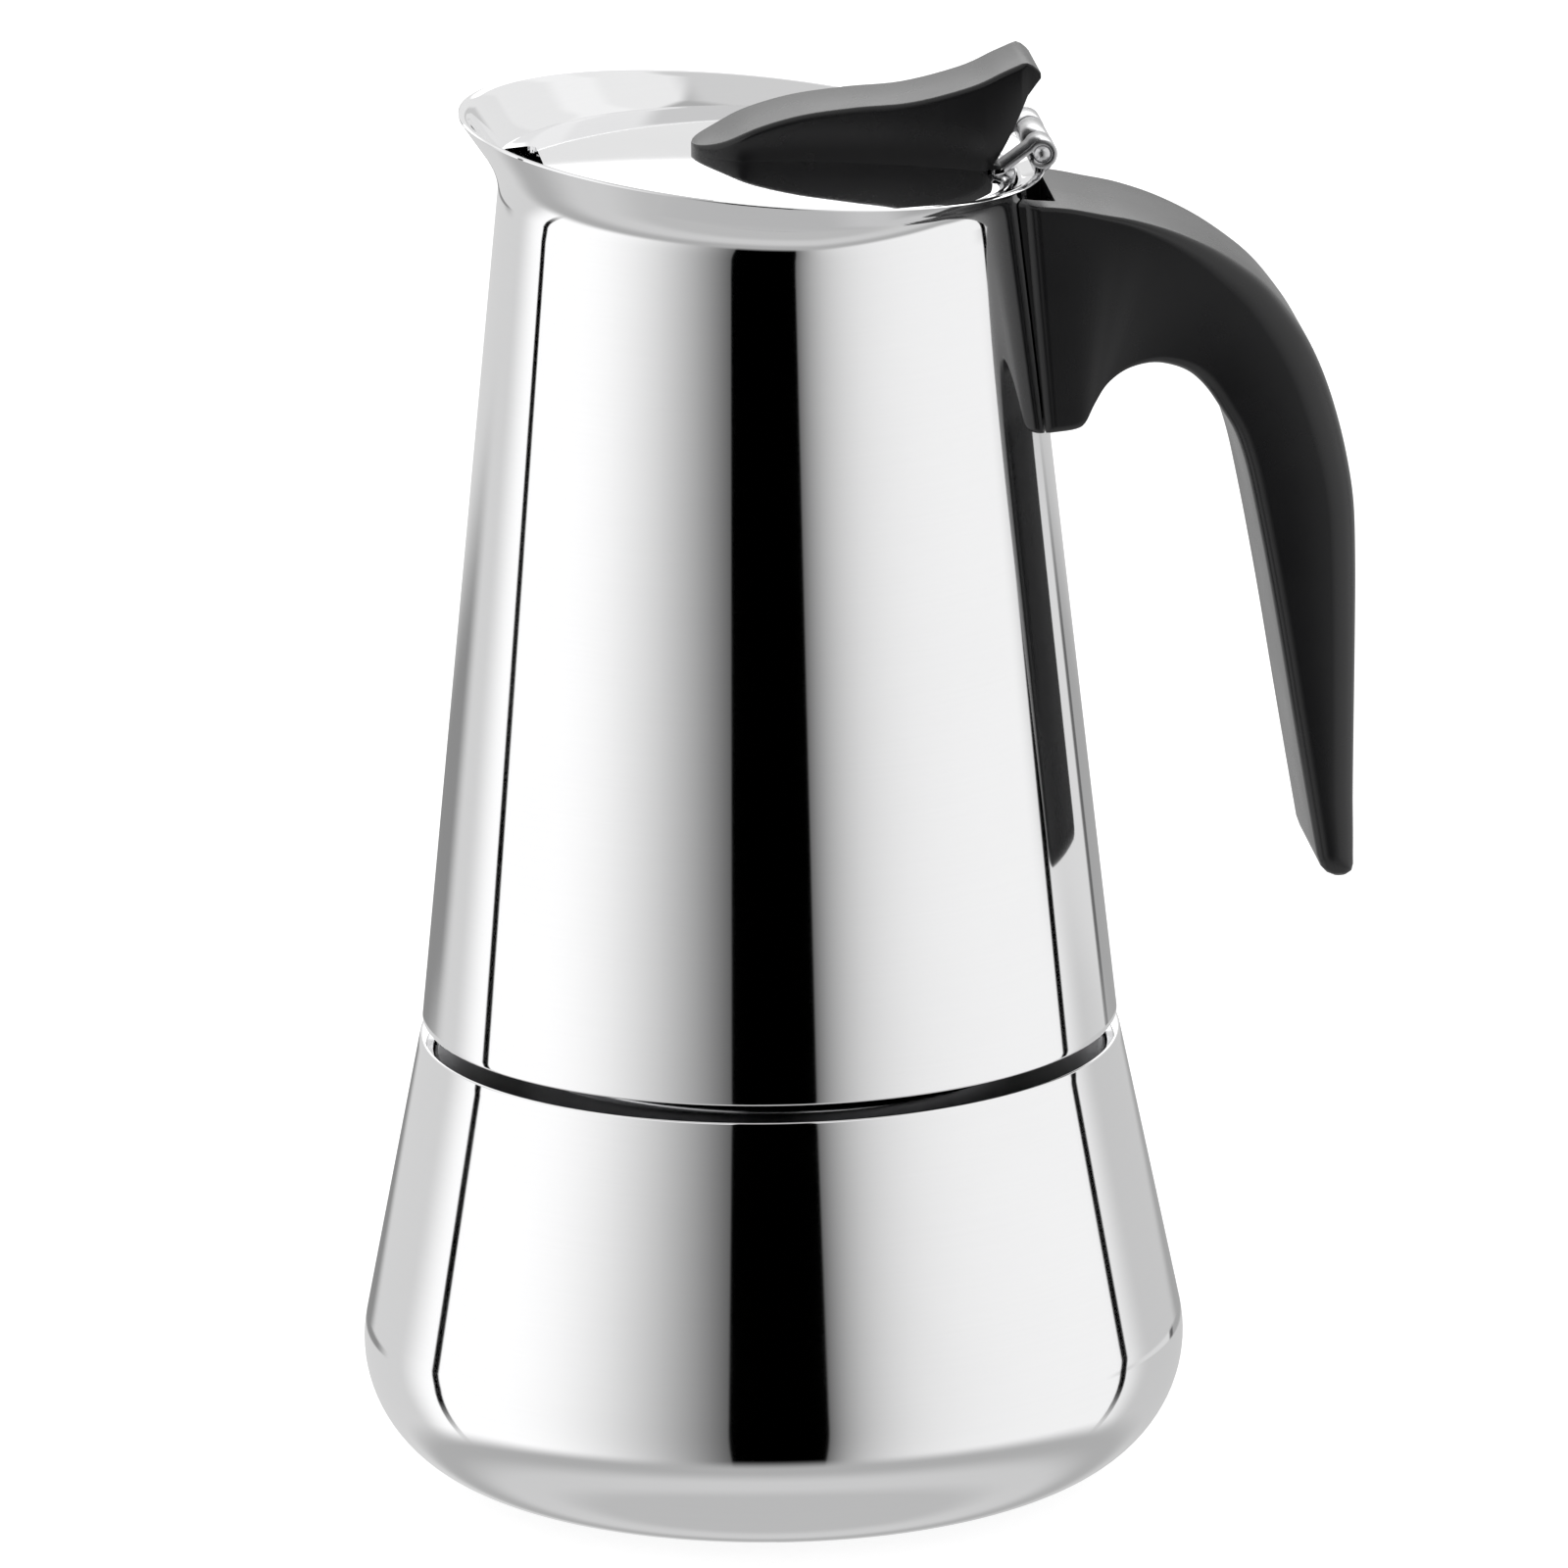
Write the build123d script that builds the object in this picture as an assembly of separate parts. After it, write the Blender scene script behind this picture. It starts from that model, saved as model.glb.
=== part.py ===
from build123d import *
import os
from math import atan, cos, radians, sin, sqrt, tan

# Stove-top moka pot, millimetres. +Z is up and the origin is the centre of the flat base.
# The handle stands on the +X side and the spout on the -X side. The lid opens about the Y axis.

# ---------------------------------------------------------------- driving dimensions
# Boiler
BOILER_RADIUS = 50.0  # widest point of the belly
BELLY_ROUND = 15.8  # rounding between the base and the wall
BOILER_TAPER = 11.4  # degrees from upright
SHOULDER_HEIGHT = 54.8
SHOULDER_ROUND = 1.3
BOILER_WALL = 1.2
BASE_STEP = 1.5  # width of the base plate's step and of the wall's edge under it

# Screw joint between boiler and jug
THREAD_RADIUS = 31.0  # outside of the boiler's threaded collar
THREAD_GAP = 0.3
COLLAR_WALL = 2.2
COLLAR_RISE = 8.5  # above the shoulder
COLLAR_FLANGE = 3.0
COLLAR_FLANGE_THICK = 1.5
SKIRT_WALL = 2.0  # female collar under the jug
SEAT_GAP = 0.1  # between seals and seats that part when the pot is opened
JOIN_GAP = 0.05  # between pieces that stay together
SHADOW_GAP = 2.0  # dark gap between boiler and jug

# Safety valve, square to the boiler wall on the +Y side
VALVE_HEIGHT = 38.0
VALVE_BODY_RADIUS = 4.0
VALVE_HEX_FLATS = 12.0
VALVE_HEX_THICK = 4.0
VALVE_NOSE = 3.4  # beyond the hexagon
VALVE_THREAD_LENGTH = 7.0  # inwards from the hexagon
VALVE_BORE_RADIUS = 2.6
VALVE_SEAT_RADIUS = 1.5
VALVE_SEAT_THICK = 1.6
VALVE_WASHER_THICK = 1.0
VALVE_NUT_THICK = 2.4
VALVE_NUT_FLATS = 11.0
VALVE_PLUNGER_HEAD = 2.2
VALVE_PLUNGER_HEAD_THICK = 1.6
VALVE_STEM_RADIUS = 1.0
VALVE_STEM_SHOW = 2.0  # stem beyond the cap
VALVE_CAP_WALL = 0.8
SPRING_WIRE = 0.45
SPRING_TURNS = 5

# Funnel
FUNNEL_RADIUS = 26.5
FUNNEL_DEPTH = 24.0
FUNNEL_CONE = 7.0
FUNNEL_WALL = 0.6
FUNNEL_RIM_THICK = 0.8
STEM_RADIUS = 4.2
STEM_CLEARANCE = 6.0  # open end of the stem above the base
STEM_SLEEVE = 5.0
SCREEN_THICK = 0.6
SCREEN_HOLE = 0.9
SCREEN_PITCH = 4.4

# Seal and filter
GASKET_THICK = 3.0
GASKET_BORE = 23.0
GASKET_LEDGE = 3.0
FILTER_THICK = 0.5
FILTER_DROP = 1.4

# Jug
JUG_BASE_RADIUS = 42.2
JUG_TAPER = 5.94  # degrees from upright
JUG_WALL = 1.0
JUG_BASE_ROUND = 1.0
FLOOR_THICK = 1.2
NECK_HEIGHT = 158.2  # on the axis
NECK_TILT = 5.2  # degrees, higher at the spout
RIM_RISE = 7.2  # above the neck, on the rim's centre
RIM_TILT = 6.2
RIM_OFFSET = -0.9  # towards the spout
RIM_SPREAD_LENGTH = 3.75  # beyond the neck's radius, along X
RIM_SPREAD_WIDTH = 4.55  # beyond the neck's radius, along Y
FLARE_STAGES = (0.0, 0.5, 1.0)  # shares of the way from the neck to the rim
FLARE_POWER = 1.08  # above 1, the neck opens slowly and then faster

# Coffee column
COLUMN_BASE_RADIUS = 8.6
COLUMN_TOP_RADIUS = 6.0
COLUMN_HEIGHT = 62.0
COLUMN_WALL = 0.8
COLUMN_FOOT = 11.5
CAP_HEIGHT = 9.0
CAP_SLOT = 3.0

# Lid
LID_INSET = 1.05  # inside the neck's radius
LID_OFFSET = 0.9
LID_CROWN = 1.9
LID_DROP = 3.4  # lid's edge below the rim's height
LID_TILT = 0.4
LID_WALL = 0.8
LID_LIP = 1.0
LID_SPOUT_CUT = 4.8  # cut off the lid's radius by the straight edge at the spout

# Lid hinge
HINGE_REACH = 1.65  # axis beyond the neck's radius
HINGE_DROP = 1.2  # axis below the rim's height
HINGE_PIN_RADIUS = 1.05
HINGE_PIN_GAP = 0.05
HINGE_SHEET = 0.7
HINGE_WIDTH = 17.6
HINGE_SLOT = 8.2
HINGE_SIDE_GAP = 0.3
LEAF_GAP = 0.3  # between the knob's heel and the rising leaf
LEAF_TONGUE_WIDTH = 9.0
LEAF_TONGUE_START = 12.0

# Knob
KNOB_WIDTH = 12.6
KNOB_SCREWS = (4.0, 18.5)
KNOB_SCREW_RADIUS = 1.5
KNOB_SCREW_DEPTH = 4.0
KNOB_SCREW_HEAD = 2.8
KNOB_SCREW_HEAD_THICK = 1.7
KNOB_WASHER_RADIUS = 3.6
KNOB_WASHER_THICK = 0.5
KNOB_SCREW_SLOT = 0.8

# Handle
HANDLE_WIDTH = 22.0
HANDLE_OUTER_ROUND = 3.0
HANDLE_FIT = 0.15
NOTCH_ROOM = 0.3  # round the bracket's leg
NOTCH_SIDE_ROOM = 1.5
HINGE_STRAP_DROP = 9.0  # foot of the hinge bracket below the neck
BRACKET_SHEET = 1.6
BRACKET_WIDTH = 10.0
TONGUE_DROP = 12.2  # underside of the tongue below the neck
TONGUE_REACH = 16.4  # out from the neck
BRACKET_LEG = 11.0
HANDLE_SCREW_REACH = 12.0  # out from the neck
HANDLE_SCREW_RADIUS = 2.0
HANDLE_SCREW_HEAD = 3.4
HANDLE_SCREW_HEAD_THICK = 2.4
HANDLE_SCREW_SLOT = 1.0
HANDLE_HEAD_ROOM = 10.2  # depth of the screwdriver's way in
HANDLE_SCREW_GRIP = 4.2  # handle material under the tongue
HANDLE_WASHER_THICK = 0.6
# Outlines of the two moulded pieces, as (out along X, up) steps from a reference corner.
# Knob: from the crown of the lid. Handle: from the jug wall at the neck's height.
KNOB_TOP = [(-9.1, 1.3), (-5.9, 2.3), (-1.7, 4.1), (3.8, 5.5), (10.3, 6.2)]
KNOB_TAIL = [(17.1, 6.5), (24.1, 8.2), (28.1, 9.9), (31.1, 11.2)]
KNOB_TAIL_BACK = (32.7, 9.2)
KNOB_HEEL = (26.1, -1.2)
KNOB_TOE = (-5.5, -0.6)
KNOB_PEAK_ROUND = 0.9
HANDLE_BACK = [
    (-5.0, 1.6),
    (9.3, -0.8),
    (18.8, -4.7),
    (27.8, -11.3),
    (34.8, -20.9),
    (39.3, -33.2),
    (40.9, -48.2),
    (40.5, -66.2),
    (40.1, -82.2),
]
HANDLE_GRIP = [(34.2, -83.2), (32.6, -73.2), (29.4, -53.2), (27.3, -40.9), (25.6, -31.0)]
HANDLE_ARCH = [(25.6, -31.0), (15.0, -19.7), (7.7, -25.4)]
HANDLE_FOOT = (6.4, -27.9)
HANDLE_TIP_ROUND = 2.4
HANDLE_FOOT_ROUND = 1.0
HANDLE_ARCH_LEAN = (-0.45, 0, 1)  # direction of the grip's inner side where it meets the arch

# ---------------------------------------------------------------- worked-out places
BELLY_CENTRE = BOILER_RADIUS - BELLY_ROUND
COLLAR_TOP = SHOULDER_HEIGHT + COLLAR_RISE
COLLAR_BORE = THREAD_RADIUS - COLLAR_WALL
SEAL_RADIUS = THREAD_RADIUS - THREAD_GAP
FUNNEL_SEAT = COLLAR_TOP + SEAT_GAP
GASKET_BOTTOM = FUNNEL_SEAT + FUNNEL_RIM_THICK + SEAT_GAP
GASKET_TOP = GASKET_BOTTOM + GASKET_THICK
FLOOR_UNDERSIDE = GASKET_TOP + SEAT_GAP
FLOOR_TOP = FLOOR_UNDERSIDE + FLOOR_THICK
JUG_BASE = SHOULDER_HEIGHT + SHADOW_GAP
COLUMN_TOP = FLOOR_TOP + COLUMN_HEIGHT
COLUMN_BORE = COLUMN_BASE_RADIUS - COLUMN_WALL
BASE_PLATE_RADIUS = BELLY_CENTRE - BASE_STEP
KNUCKLE_RADIUS = HINGE_PIN_RADIUS + HINGE_PIN_GAP + HINGE_SHEET
TOO_FAR = 200.0  # longer than any cut needs to be


def boiler_radius(height, inset=0.0):
    """Radius of the boiler's straight wall, moved inwards by the inset."""
    lean = radians(BOILER_TAPER)
    tangent_radius = BELLY_CENTRE + (BELLY_ROUND - inset) * cos(lean)
    tangent_height = BELLY_ROUND + (BELLY_ROUND - inset) * sin(lean)
    return tangent_radius - (height - tangent_height) * tan(lean)


def jug_radius(height, inset=0.0):
    """Radius of the jug's cone, moved inwards by the inset."""
    return JUG_BASE_RADIUS - (height - JUG_BASE) * tan(radians(JUG_TAPER)) - inset


NECK_RADIUS = jug_radius(NECK_HEIGHT)
RIM_HEIGHT = NECK_HEIGHT + RIM_RISE
RIM_HALF_LENGTH = NECK_RADIUS + RIM_SPREAD_LENGTH
RIM_HALF_WIDTH = NECK_RADIUS + RIM_SPREAD_WIDTH
LID_RADIUS = NECK_RADIUS - LID_INSET
LID_EDGE_HEIGHT = RIM_HEIGHT - LID_DROP
HINGE_X = NECK_RADIUS + HINGE_REACH
HINGE_Z = RIM_HEIGHT - HINGE_DROP


def turned(outline):
    """Solid turned about the Z axis from (radius, height) corners."""
    corners = [(radius, 0, height) for radius, height in outline]
    return revolve(make_face(Polyline(*corners, close=True)), Axis.Z)


def disc(radius, low, high):
    """Upright solid cylinder between two heights."""
    return Pos(0, 0, low) * Cylinder(radius, high - low, align=(Align.CENTER, Align.CENTER, Align.MIN))


def ring(inner, outer, low, high):
    """Upright ring between two heights."""
    return disc(outer, low, high) - disc(inner, low, high)


def hexagon(flats, low, high):
    """Upright hexagonal prism between two heights."""
    prism = extrude(RegularPolygon(flats / 2, 6, major_radius=False), high - low)
    return Pos(0, 0, low) * prism


def tilted_plane(x, z, tilt):
    """Plane through (x, 0, z) that rises towards the spout by the tilt in degrees."""
    lean = radians(tilt)
    return Plane(origin=(x, 0, z), x_dir=(cos(lean), 0, -sin(lean)), z_dir=(sin(lean), 0, cos(lean)))


def side_face(corners):
    """Flat face in the XZ plane from (x, z) corners."""
    return make_face(Polyline(*[(x, 0, z) for x, z in corners], close=True))


def across(face, width):
    """Solid from an XZ face, centred on the plane Y = 0."""
    return extrude(face, width / 2, both=True)


def slab(low, high):
    """Box between two corners."""
    size = [b - a for a, b in zip(low, high)]
    centre = [(a + b) / 2 for a, b in zip(low, high)]
    return Pos(*centre) * Box(*size)


def strip_face(path, thick):
    """XZ face of a bent sheet: the path is one side, the other lies to its left."""
    other = []
    for index, (x, z) in enumerate(path):
        ahead = path[min(index + 1, len(path) - 1)]
        behind = path[max(index - 1, 0)]
        run, rise = ahead[0] - behind[0], ahead[1] - behind[1]
        length = sqrt(run * run + rise * rise)
        other.append((x - rise / length * thick, z + run / length * thick))
    return side_face(path + other[::-1])


def hole_pattern(reach, pitch):
    """Centres of a triangular pattern of holes inside a circle."""
    rows = int(reach / (pitch * sin(radians(60)))) + 1
    columns = int(reach / pitch) + 2
    centres = []
    for row in range(-rows, rows + 1):
        for column in range(-columns, columns + 1):
            x = pitch * (column + (row % 2) / 2)
            y = pitch * row * sin(radians(60))
            if sqrt(x * x + y * y) <= reach:
                centres.append((x, y))
    return centres


# ---------------------------------------------------------------- boiler
def boiler_solid(inset, top):
    """Full boiler shape moved inwards by the inset, closed by a flat top."""
    lean = radians(BOILER_TAPER)
    radius = BELLY_ROUND - inset

    def on_belly(angle):
        return (BELLY_CENTRE + radius * cos(angle), 0, BELLY_ROUND + radius * sin(angle))

    low = on_belly(radians(-90))
    high = on_belly(lean)
    shoulder = (boiler_radius(top, inset), 0, top)
    outline = Line((0, 0, inset), low)
    outline += ThreePointArc(low, on_belly((lean - radians(90)) / 2), high)
    outline += Line(high, shoulder)
    outline += Line(shoulder, (0, 0, top))
    outline += Line((0, 0, top), (0, 0, inset))
    return revolve(make_face(outline.edges()), Axis.Z)


def valve_frame():
    """Plane on the boiler's wall with its Z axis out along the safety valve."""
    lean = radians(BOILER_TAPER)
    foot = (0, boiler_radius(VALVE_HEIGHT), VALVE_HEIGHT)
    return Plane(origin=foot, x_dir=(1, 0, 0), z_dir=(0, cos(lean), sin(lean)))


def make_boiler_shell():
    outer = boiler_solid(0.0, SHOULDER_HEIGHT)
    top_edges = outer.edges().filter_by(GeomType.CIRCLE).group_by(Axis.Z)[-1]
    outer = fillet(top_edges.sort_by(SortBy.RADIUS)[-1], SHOULDER_ROUND)
    shell = outer - boiler_solid(BOILER_WALL, SHOULDER_HEIGHT - BOILER_WALL)
    shell -= disc(THREAD_RADIUS + JOIN_GAP, SHOULDER_HEIGHT / 2, SHOULDER_HEIGHT + COLLAR_RISE)
    reach = VALVE_THREAD_LENGTH
    shell -= valve_frame() * disc(VALVE_BODY_RADIUS + JOIN_GAP, -reach, reach)
    return shell - base_plate(0.0)


def base_plate(gap):
    """Stepped round plate that closes the bottom, smaller by the gap at both rims."""
    step = BOILER_WALL / 2
    plate = disc(BASE_PLATE_RADIUS - BASE_STEP - gap, 0, step)
    return plate + disc(BASE_PLATE_RADIUS - gap, step, BOILER_WALL)


def make_boiler_base():
    return base_plate(JOIN_GAP)


def make_boiler_collar():
    flange_top = SHOULDER_HEIGHT - BOILER_WALL
    flange_low = flange_top - COLLAR_FLANGE_THICK
    collar = ring(COLLAR_BORE, THREAD_RADIUS, flange_low, COLLAR_TOP)
    return collar + ring(COLLAR_BORE, THREAD_RADIUS + COLLAR_FLANGE, flange_low, flange_top)


# ---------------------------------------------------------------- safety valve
VALVE_HEX_TOP = VALVE_WASHER_THICK + VALVE_HEX_THICK
VALVE_NOSE_TOP = VALVE_HEX_TOP + VALVE_NOSE
VALVE_INNER_END = -VALVE_THREAD_LENGTH
VALVE_SEAT_TOP = VALVE_INNER_END + VALVE_SEAT_THICK
PLUNGER_HEAD_TOP = VALVE_SEAT_TOP + VALVE_PLUNGER_HEAD_THICK
CAP_UNDERSIDE = VALVE_NOSE_TOP - VALVE_CAP_WALL


def make_valve_body():
    body = disc(VALVE_BODY_RADIUS, VALVE_INNER_END, VALVE_WASHER_THICK)
    body += hexagon(VALVE_HEX_FLATS, VALVE_WASHER_THICK, VALVE_HEX_TOP)
    body += disc(VALVE_BODY_RADIUS, VALVE_HEX_TOP, VALVE_NOSE_TOP)
    body -= disc(VALVE_BORE_RADIUS, VALVE_SEAT_TOP, VALVE_NOSE_TOP)
    body -= disc(VALVE_SEAT_RADIUS, VALVE_INNER_END, VALVE_SEAT_TOP)
    return valve_frame() * body


def make_valve_washer():
    bore = VALVE_BODY_RADIUS + JOIN_GAP
    return valve_frame() * ring(bore, VALVE_HEX_FLATS / 2, 0, VALVE_WASHER_THICK)


def make_valve_nut():
    reach = VALVE_NUT_FLATS / sqrt(3)
    inner_radius = boiler_radius(VALVE_HEIGHT, BOILER_WALL)
    sag = inner_radius - sqrt(inner_radius**2 - reach**2)
    high = -(BOILER_WALL + sag + JOIN_GAP)
    nut = hexagon(VALVE_NUT_FLATS, high - VALVE_NUT_THICK, high)
    nut -= disc(VALVE_BODY_RADIUS + JOIN_GAP, high - VALVE_NUT_THICK, high)
    return valve_frame() * nut


def make_valve_cap():
    hole = VALVE_STEM_RADIUS + HINGE_PIN_GAP
    return valve_frame() * ring(hole, VALVE_BORE_RADIUS - JOIN_GAP, CAP_UNDERSIDE, VALVE_NOSE_TOP)


def make_valve_plunger():
    low = VALVE_SEAT_TOP + JOIN_GAP
    plunger = disc(VALVE_PLUNGER_HEAD, low, PLUNGER_HEAD_TOP)
    plunger += disc(VALVE_STEM_RADIUS, low, VALVE_NOSE_TOP + VALVE_STEM_SHOW)
    return valve_frame() * plunger


def make_valve_spring():
    coil_radius = (VALVE_STEM_RADIUS + VALVE_BORE_RADIUS) / 2
    low = PLUNGER_HEAD_TOP + SPRING_WIRE
    length = CAP_UNDERSIDE - SPRING_WIRE - low
    path = Helix(length / SPRING_TURNS, length, coil_radius)
    wire_plane = Plane(origin=path @ 0, z_dir=path % 0)
    coil = sweep(wire_plane * Circle(SPRING_WIRE / 2), path=path, is_frenet=True)
    return valve_frame() * Pos(0, 0, low) * coil


# ---------------------------------------------------------------- funnel, seal and filter
FUNNEL_FLOOR = FUNNEL_SEAT - FUNNEL_DEPTH
FUNNEL_THROAT = FUNNEL_FLOOR - FUNNEL_CONE
SLEEVE_RADIUS = STEM_RADIUS + JOIN_GAP + FUNNEL_WALL


def make_funnel_basket():
    lean = atan((FUNNEL_RADIUS - SLEEVE_RADIUS) / FUNNEL_CONE)
    rise = FUNNEL_WALL * tan(lean / 2)
    bore = SLEEVE_RADIUS - FUNNEL_WALL
    return turned(
        [
            (FUNNEL_RADIUS, FUNNEL_SEAT),
            (FUNNEL_RADIUS, FUNNEL_FLOOR),
            (SLEEVE_RADIUS, FUNNEL_THROAT),
            (SLEEVE_RADIUS, FUNNEL_THROAT - STEM_SLEEVE),
            (bore, FUNNEL_THROAT - STEM_SLEEVE),
            (bore, FUNNEL_THROAT + rise),
            (FUNNEL_RADIUS - FUNNEL_WALL, FUNNEL_FLOOR + rise),
            (FUNNEL_RADIUS - FUNNEL_WALL, FUNNEL_SEAT + FUNNEL_RIM_THICK),
            (SEAL_RADIUS, FUNNEL_SEAT + FUNNEL_RIM_THICK),
            (SEAL_RADIUS, FUNNEL_SEAT),
        ]
    )


def make_funnel_stem():
    return ring(STEM_RADIUS - FUNNEL_WALL, STEM_RADIUS, STEM_CLEARANCE, FUNNEL_THROAT)


def make_funnel_screen():
    low = FUNNEL_FLOOR + FUNNEL_WALL + JOIN_GAP
    radius = FUNNEL_RADIUS - FUNNEL_WALL - JOIN_GAP
    screen = disc(radius, low, low + SCREEN_THICK)
    for x, y in hole_pattern(radius - SCREEN_PITCH, SCREEN_PITCH):
        screen -= Pos(x, y, 0) * disc(SCREEN_HOLE, low, low + SCREEN_THICK)
    return screen


def make_gasket():
    gasket = ring(GASKET_BORE, SEAL_RADIUS, GASKET_BOTTOM, GASKET_TOP)
    ledge_low = GASKET_TOP - FILTER_THICK - JOIN_GAP
    return gasket - disc(GASKET_BORE + GASKET_LEDGE, ledge_low, GASKET_TOP)


def make_filter_plate():
    rim_low = GASKET_TOP - FILTER_THICK
    cup_radius = GASKET_BORE - JOIN_GAP
    plate_low = rim_low - FILTER_DROP
    plate = ring(cup_radius - FILTER_THICK, GASKET_BORE + GASKET_LEDGE - JOIN_GAP, rim_low, GASKET_TOP)
    plate += ring(cup_radius - FILTER_THICK, cup_radius, plate_low, GASKET_TOP)
    plate += disc(cup_radius, plate_low, plate_low + FILTER_THICK)
    for x, y in hole_pattern(cup_radius - SCREEN_PITCH, SCREEN_PITCH):
        plate -= Pos(x, y, 0) * disc(SCREEN_HOLE, plate_low, plate_low + FILTER_THICK)
    return plate


# ---------------------------------------------------------------- jug
def neck_section(inset):
    """Face where the tilted neck plane cuts the jug's cone."""
    slope = tan(radians(JUG_TAPER)) * tan(radians(NECK_TILT))
    radius = jug_radius(NECK_HEIGHT, inset)
    handle_side = radius / (1 - slope)
    spout_side = radius / (1 + slope)
    centre = (handle_side - spout_side) / 2
    half_length = (handle_side + spout_side) / 2 / cos(radians(NECK_TILT))
    half_width = sqrt((radius + slope * centre) ** 2 - centre**2)
    plane = tilted_plane(centre, NECK_HEIGHT - centre * tan(radians(NECK_TILT)), NECK_TILT)
    return plane, half_length, half_width


def flare_section(share, inset):
    """Face of the flared neck at a share of the way from the neck to the rim."""
    neck, neck_length, neck_width = neck_section(inset)
    rim_length = RIM_HALF_LENGTH / cos(radians(RIM_TILT)) - inset
    rim_width = RIM_HALF_WIDTH - inset
    spread = share**FLARE_POWER
    x = neck.origin.X + (RIM_OFFSET - neck.origin.X) * share
    z = neck.origin.Z + (RIM_HEIGHT - neck.origin.Z) * share
    plane = tilted_plane(x, z, NECK_TILT + (RIM_TILT - NECK_TILT) * share)
    half_length = neck_length + (rim_length - neck_length) * spread
    half_width = neck_width + (rim_width - neck_width) * spread
    return plane * Ellipse(half_length, half_width)


def jug_solid(inset):
    """Full jug shape from its base to its slanted rim, moved inwards by the inset."""
    low = (jug_radius(JUG_BASE, inset), JUG_BASE)
    high = (jug_radius(RIM_HEIGHT, inset), RIM_HEIGHT)
    cone = turned([(0, JUG_BASE), low, high, (0, RIM_HEIGHT)])
    neck, _, _ = neck_section(inset)
    above_neck = neck * disc(TOO_FAR, 0, TOO_FAR)
    flare = loft([flare_section(share, inset) for share in FLARE_STAGES])
    return (cone - above_neck) + flare


def make_jug_shell():
    outer = jug_solid(0.0)
    base_edge = outer.edges().group_by(Axis.Z)[0].sort_by(SortBy.LENGTH)[-1]
    outer = fillet(base_edge, JUG_BASE_ROUND)
    return outer - jug_solid(JUG_WALL)


def make_jug_floor():
    bore = THREAD_RADIUS + THREAD_GAP
    skirt = bore + SKIRT_WALL
    floor = ring(bore, skirt, JUG_BASE, FLOOR_TOP)
    floor += ring(COLUMN_BORE, skirt, FLOOR_UNDERSIDE, FLOOR_TOP)
    flange_top = JUG_BASE + FLOOR_THICK
    edge = jug_radius(flange_top, JUG_WALL + JOIN_GAP)
    return floor + ring(bore, edge, JUG_BASE, flange_top)


def make_coffee_column():
    return turned(
        [
            (COLUMN_BORE, FLOOR_TOP),
            (COLUMN_FOOT, FLOOR_TOP),
            (COLUMN_FOOT, FLOOR_TOP + COLUMN_WALL),
            (COLUMN_BASE_RADIUS, FLOOR_TOP + COLUMN_WALL),
            (COLUMN_TOP_RADIUS, COLUMN_TOP),
            (COLUMN_TOP_RADIUS - COLUMN_WALL, COLUMN_TOP),
        ]
    )


def make_column_cap():
    slope = (COLUMN_BASE_RADIUS - COLUMN_TOP_RADIUS) / COLUMN_HEIGHT
    low = COLUMN_TOP - CAP_HEIGHT / 2
    bore = COLUMN_TOP_RADIUS + slope * CAP_HEIGHT / 2 + JOIN_GAP
    outer = bore + COLUMN_WALL
    high = low + CAP_HEIGHT
    cap = disc(outer, low, high) - disc(bore, low, high - COLUMN_WALL)
    top_edge = cap.edges().filter_by(GeomType.CIRCLE).group_by(Axis.Z)[-1]
    cap = fillet(top_edge, COLUMN_WALL)
    slot_low = COLUMN_TOP + COLUMN_WALL
    slot_high = high - 2 * COLUMN_WALL
    return cap - slab((-TOO_FAR, -CAP_SLOT / 2, slot_low), (TOO_FAR, CAP_SLOT / 2, slot_high))


# ---------------------------------------------------------------- lid
def lid_frame():
    """Plane of the lid's edge."""
    return tilted_plane(LID_OFFSET, LID_EDGE_HEIGHT, LID_TILT)


def lid_dome(inset):
    """Domed solid under the lid's surface, moved inwards by the inset."""
    sphere_radius = (LID_RADIUS**2 + LID_CROWN**2) / (2 * LID_CROWN)
    ball = Pos(0, 0, LID_CROWN - sphere_radius) * Sphere(sphere_radius - inset)
    skirt = disc(LID_RADIUS - max(inset, 0), -LID_LIP, 2 * LID_CROWN)
    return lid_frame() * (ball & skirt)


def make_lid_shell():
    lip_open = lid_frame() * disc(LID_RADIUS - LID_WALL, -2 * LID_LIP, 0)
    lid = lid_dome(0.0) - (lid_dome(LID_WALL) + lip_open)
    lid -= slab((-TOO_FAR, -TOO_FAR, 0), (LID_SPOUT_CUT - LID_RADIUS, TOO_FAR, TOO_FAR))
    for x in KNOB_SCREWS:
        lid -= Pos(x, 0, 0) * disc(KNOB_SCREW_RADIUS + JOIN_GAP, 0, TOO_FAR)
    return lid


def lid_top(x):
    """Height of the lid's upper surface on its centre line."""
    sphere_radius = (LID_RADIUS**2 + LID_CROWN**2) / (2 * LID_CROWN)
    lean = radians(LID_TILT)
    centre_x = LID_OFFSET + (LID_CROWN - sphere_radius) * sin(lean)
    centre_z = LID_EDGE_HEIGHT + (LID_CROWN - sphere_radius) * cos(lean)
    return centre_z + sqrt(sphere_radius**2 - (x - centre_x) ** 2)


def barrel(radius, low_y, high_y):
    """Cylinder along Y on the hinge axis."""
    length = high_y - low_y
    turn = Rot(-90, 0, 0) * Cylinder(radius, length, align=(Align.CENTER, Align.CENTER, Align.MIN))
    return Pos(HINGE_X, low_y, HINGE_Z) * turn


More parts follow.
